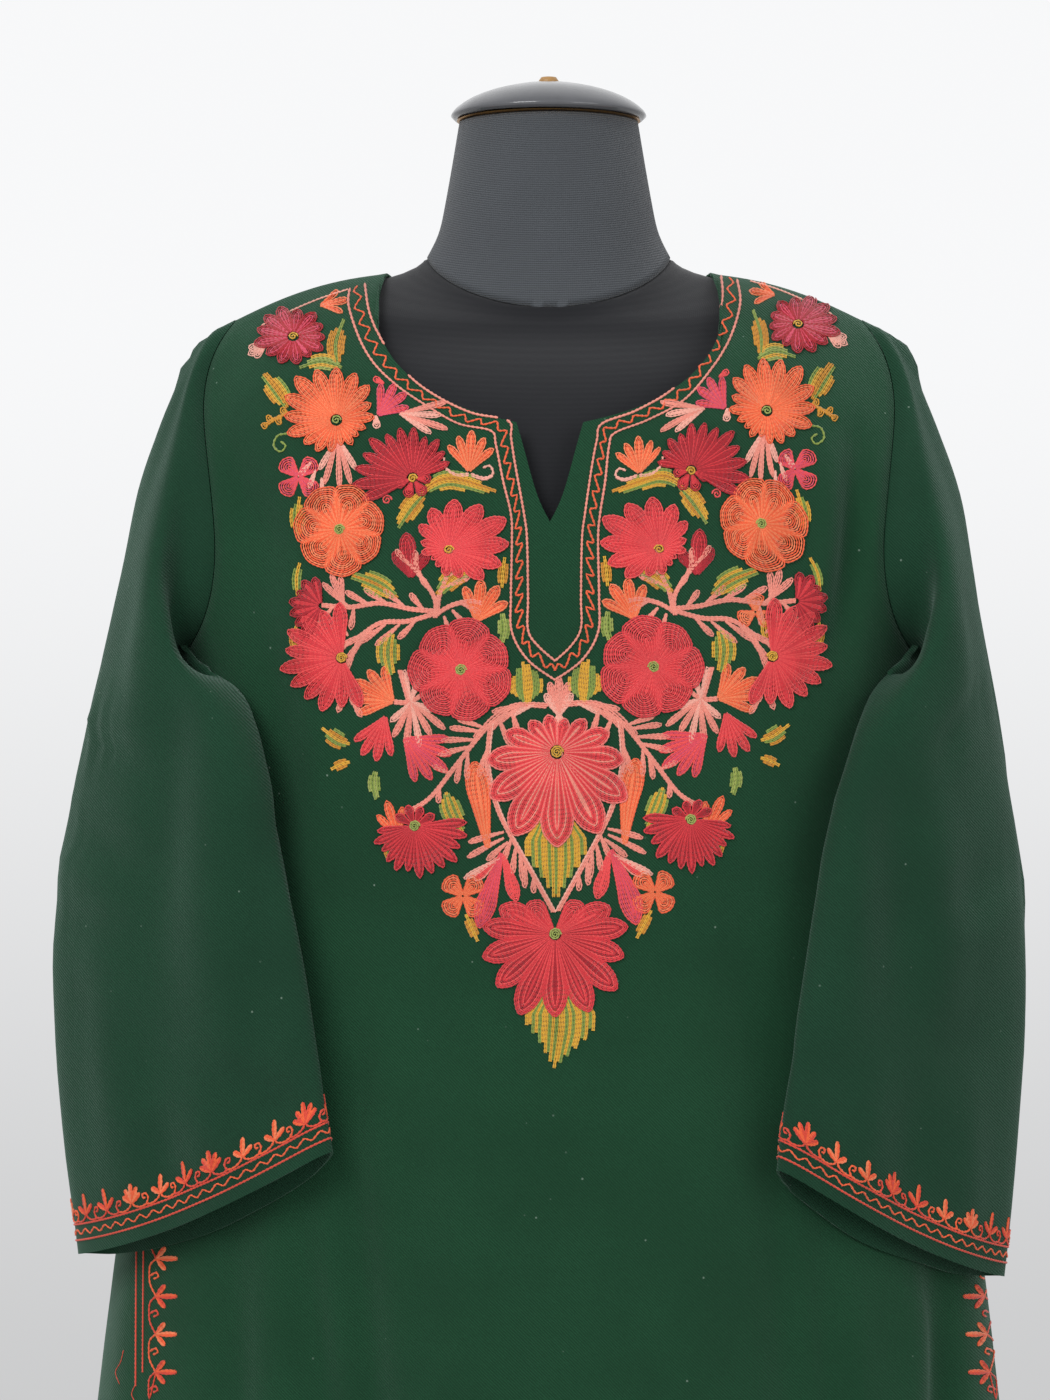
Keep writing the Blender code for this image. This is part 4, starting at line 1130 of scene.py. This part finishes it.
class Cuff:
    def __init__(self, name, deep=90.0):
        self.loop = cuffRings[name]
        self.tree = clothTrees[name]
        self.group = name
        count = len(self.loop)
        self.around = sum((a - b).length for a, b in zip(self.loop, self.loop[1:] + self.loop[:1])) / square
        middle = sum(self.loop, Vector((0, 0, 0))) / count
        high = Vector((middle.x * 1.02, middle.y + 0.012, middle.z + 0.12))
        axis = (high - middle).normalized()
        self.columns = []
        self.starts = [0.0]
        for k, start in enumerate(self.loop):
            column = []
            spot = start.copy()
            for n in range(int(deep / 5) + 1):
                hit, normal, _, _ = self.tree.find_nearest(spot)
                column.append((hit, normal))
                up = (axis - normal * axis.dot(normal)).normalized()
                spot = hit + up * 5 * square
            self.columns.append(column)
            self.starts.append(self.starts[-1] + (self.loop[(k + 1) % count] - start).length / square)

    def place(self, u, v):
        u = u % self.around
        k = max(n for n in range(len(self.loop)) if self.starts[n] <= u)
        t = (u - self.starts[k]) / max(1e-6, self.starts[k + 1] - self.starts[k])
        one, two = self.columns[k], self.columns[(k + 1) % len(self.loop)]
        n = min(int(v / 5), len(one) - 2)
        s = v / 5 - n
        spot = (one[n][0].lerp(one[n + 1][0], s)).lerp(two[n][0].lerp(two[n + 1][0], s), t)
        normal = one[n][1].lerp(two[n][1], t).normalized()
        hit, face, _, _ = self.tree.find_nearest(spot)
        return hit, (face if face.dot(normal) > 0 else -face)

    def row(self, colour, path, width=1.0):
        stitch(colour, path, width, self.place, self.group)


cuffWork = {"lower": 14.0, "wave": 22.0, "upper": 30.0, "swing": 2.6, "every": 36.0}


def sprig(row, u, v, size, lean, lobes, colours):  # row draws a stitched line, v grows away from the edge
    for n in range(lobes):
        share = (n / (lobes - 1) - 0.5) * 2 if lobes > 1 else 0.0
        angle = math.radians(share * 52 + lean)
        long = size * (1 - 0.30 * abs(share))
        s, c = math.sin(angle), math.cos(angle)
        for half in (-1.9, -0.6, 0.7, 1.9):
            row(colours[(n + (half > 0)) % len(colours)], [
                (u, v), (u + s * long * 0.5 + c * half, v + c * long * 0.5 - s * half),
                (u + s * long * (1 - 0.02 * half * half) + c * half * 0.7,
                v + c * long * (1 - 0.02 * half * half) - s * half * 0.7)], 1.05)


def curl(row, u, v, side, colour):
    row(colour, [(u, v), (u + side * 3, v + 5), (u + side * 1, v + 10), (u - side * 3, v + 11),
        (u - side * 3.5, v + 7), (u, v + 6.5)], 1.25)


def stitchCuff(name):
    cuff = Cuff(name)
    repeats = max(6, round(cuff.around / cuffWork["every"]))
    every = cuff.around / repeats
    for height in (cuffWork["lower"], cuffWork["upper"]):
        cuff.row("cuffRed", [(k * cuff.around / 40, height) for k in range(41)], 1.15)
    waves = 4 * round(cuff.around / 17)
    wavy = [(cuff.around * k / waves, cuffWork["wave"] + cuffWork["swing"] * math.sin(math.pi * k / 2))
            for k in range(waves + 1)]
    cuff.row("orange", wavy, 1.05)
    for k in range(repeats):
        u, v = (k + 0.5) * every, cuffWork["upper"] + 2.0
        mood = math.sin(k * 1.7)
        colours = ("cuffRed", "orange") if mood > -0.2 else ("orange", "peach")
        cuff.row(colours[0], [(u - every / 2, v + 1), (u - every * 0.3, v), (u - every * 0.08, v + 3),
            (u, v + 8)], 1.2)
        cuff.row(colours[0], [(u + every / 2, v + 1), (u + every * 0.3, v), (u + every * 0.08, v + 3),
            (u, v + 8)], 1.2)
        sprig(cuff.row, u, v + 6, 21 + 2 * mood, 5 * mood, 5 if k % 3 == 1 else 3, colours)
        curl(cuff.row, u - every / 2, v + 1, 1 if mood > 0 else -1, colours[0])


for name in ("right_sleeve", "left_sleeve"):
    stitchCuff(name)
print("cuffs stitched")

# borders of the pocket mouths at the side seams


def pocketBorder(lineA, lineB, stem, inward):
    def row(colour, path, width=1.0):
        stitch(colour, path, width, onFront, "pockets")

    row("cuffRed", lineA, 1.15)
    row("cuffRed", lineB, 1.0)
    line = smoothPath(stem, 2.0)
    for k in range(0, len(line) - 1, 19):
        u, v = line[k]
        end = line[min(k + 19, len(line) - 1)]
        colours = ("cuffRed", "orange") if k % 2 else ("orange", "peach")
        row(colours[0], [(u + inward * 6, v), (u, v + 6), (u - inward * 1, v + 16), (u, v + 26),
            (end[0] + inward * 6, end[1])], 1.25)
        row(colours[0], [(u, v + 17), (u + inward * 6, v + 14), (u + inward * 8, v + 18),
            (u + inward * 4, v + 20)], 1.3)

        def turned(colour, path, width):  # the sprig lies on its side
            row(colour, [(u + inward * (6 + q), v + p) for p, q in path], width)

        sprig(turned, 0.0, 0.0, 21, 0.0, 3, colours)


pocketBorder([(139, 1090), (137, 1240), (136, 1386)], [(146, 1090), (144, 1240), (143, 1372)],
             [(153, 1107), (151, 1240), (150, 1374)], 1)
pocketBorder([(991, 1090), (1000, 1240), (1009, 1388)], [(984, 1090), (993, 1240), (1002, 1376)],
             [(977, 1107), (986, 1240), (995, 1374)], -1)
for path in ([(120, 1384), (116, 1372), (121, 1362), (124, 1350)], [(136, 1384), (132, 1394), (136, 1402)]):
    stitch("cuffRed", path, 0.5, onFront, "pockets")
print("pocket borders stitched")


def threadPieces():
    made = []
    for (group, colour), found in sorted(rows.items()):
        curve = bpy.data.curves.new("thread", "CURVE")
        curve.dimensions = "3D"
        curve.bevel_depth = needle["width"]
        curve.bevel_resolution = 0
        curve.use_fill_caps = True
        for spots, width in found:
            spline = curve.splines.new("POLY")
            spline.points.add(len(spots) - 1)
            for k, (point, spot) in enumerate(zip(spline.points, spots)):
                point.co = (*spot, 1.0)
                point.radius = width * (1.12 if k % 2 else 0.62)
        temp = bpy.data.objects.new("thread", curve)
        bpy.context.scene.collection.objects.link(temp)
        bpy.context.view_layer.update()
        mesh = bpy.data.meshes.new_from_object(temp.evaluated_get(bpy.context.evaluated_depsgraph_get()))
        bpy.data.objects.remove(temp)
        mesh.shade_smooth()
        name = group + colour[0].upper() + colour[1:] + "Thread"
        thing = piece(name, mesh, threadMats[colour])
        made.append((group, thing))
        print("  ", name, len(mesh.polygons) * 2, "triangles")
    return made


threadMats = {colour: threadFinish(colour + " thread", code) for colour, code in threads.items()}
made = threadPieces()

# studio


def floorSheet():  # it ends before the photograph's framing reaches it, and no wall hides the back views
    work = bmesh.new()
    bmesh.ops.create_grid(work, x_segments=1, y_segments=1, size=studio["floorHalf"])
    bmesh.ops.translate(work, verts=work.verts, vec=(0, studio["floorMiddle"], 0))
    mesh = meshFrom(work, "floor")
    thing = bpy.data.objects.new("studioFloor", mesh)
    bpy.context.scene.collection.objects.link(thing)
    n = Nodes("pale paper")
    tone = n.add("TexNoise", Vector=n.mapped("Object"), Scale=1.2, Detail=2.0)
    n.finish(n.mix(n.ramp(tone.outputs["Fac"], 0.0, 0.06, 0.4, 0.6), (0.56, 0.56, 0.55), (0.6, 0.6, 0.6)),
        0.9)
    thing.data.materials.append(n.mat)


def skyRamp(tree, value, low, high, fromLow, fromHigh):
    node = tree.nodes.new("ShaderNodeMapRange")
    node.interpolation_type = "SMOOTHSTEP"
    for key, number in (("From Min", fromLow), ("From Max", fromHigh), ("To Min", low), ("To Max", high)):
        node.inputs[key].default_value = number
    tree.links.new(value, node.inputs["Value"])
    return node.outputs["Result"]


def paperSky():  # white above, grey below and dimmer on the camera's side, all round the part
    world = bpy.data.worlds.new("studio")
    world.use_nodes = True
    tree = world.node_tree
    coords = tree.nodes.new("ShaderNodeTexCoord")
    way = tree.nodes.new("ShaderNodeSeparateXYZ")
    tree.links.new(coords.outputs["Generated"], way.inputs[0])
    rise = skyRamp(tree, way.outputs["Z"], studio["low"], studio["high"], -0.20, 0.10)
    ahead = skyRamp(tree, way.outputs["Y"], studio["front"], 1.0, -0.2, 0.6)
    both = tree.nodes.new("ShaderNodeMath")
    both.operation = "MULTIPLY"
    tree.links.new(rise, both.inputs[0])
    tree.links.new(ahead, both.inputs[1])
    light = tree.nodes["Background"]
    light.inputs[0].default_value = (0.985, 0.99, 1.0, 1.0)
    tree.links.new(both.outputs[0], light.inputs[1])
    bpy.context.scene.world = world


def lamp(name, place, aim, size, power, tint=(1, 1, 1)):
    data = bpy.data.lights.new(name, "AREA")
    data.shape = "RECTANGLE"
    data.size, data.size_y = size
    data.energy = power
    data.color = tint
    thing = bpy.data.objects.new(name, data)
    thing.location = place
    thing.rotation_euler = (Vector(aim) - Vector(place)).to_track_quat("-Z", "Y").to_euler()
    bpy.context.scene.collection.objects.link(thing)


studio = {"key": 62.0, "fill": 20.0, "low": 0.60, "high": 0.95, "front": 0.60, "floorHalf": 4.5,
    "floorMiddle": -0.6}
floorSheet()
lamp("key", (-1.5, -2.6, 3.0), (0, 0, 1.15), (1.6, 1.6), studio["key"])
lamp("fill", (2.2, -2.4, 1.7), (0, 0, 1.0), (1.8, 1.8), studio["fill"])
paperSky()
bpy.context.scene.view_settings.view_transform = "Standard"

lens = bpy.data.cameras.new("view")
lens.lens = camera["lens"]
lens.sensor_width = 36.0
lens.sensor_fit = "AUTO"
view = bpy.data.objects.new("view", lens)
view.location = camera["place"]
view.rotation_euler = (math.pi / 2, 0, 0)
bpy.context.scene.collection.objects.link(view)
bpy.context.scene.camera = view
print("studio set")
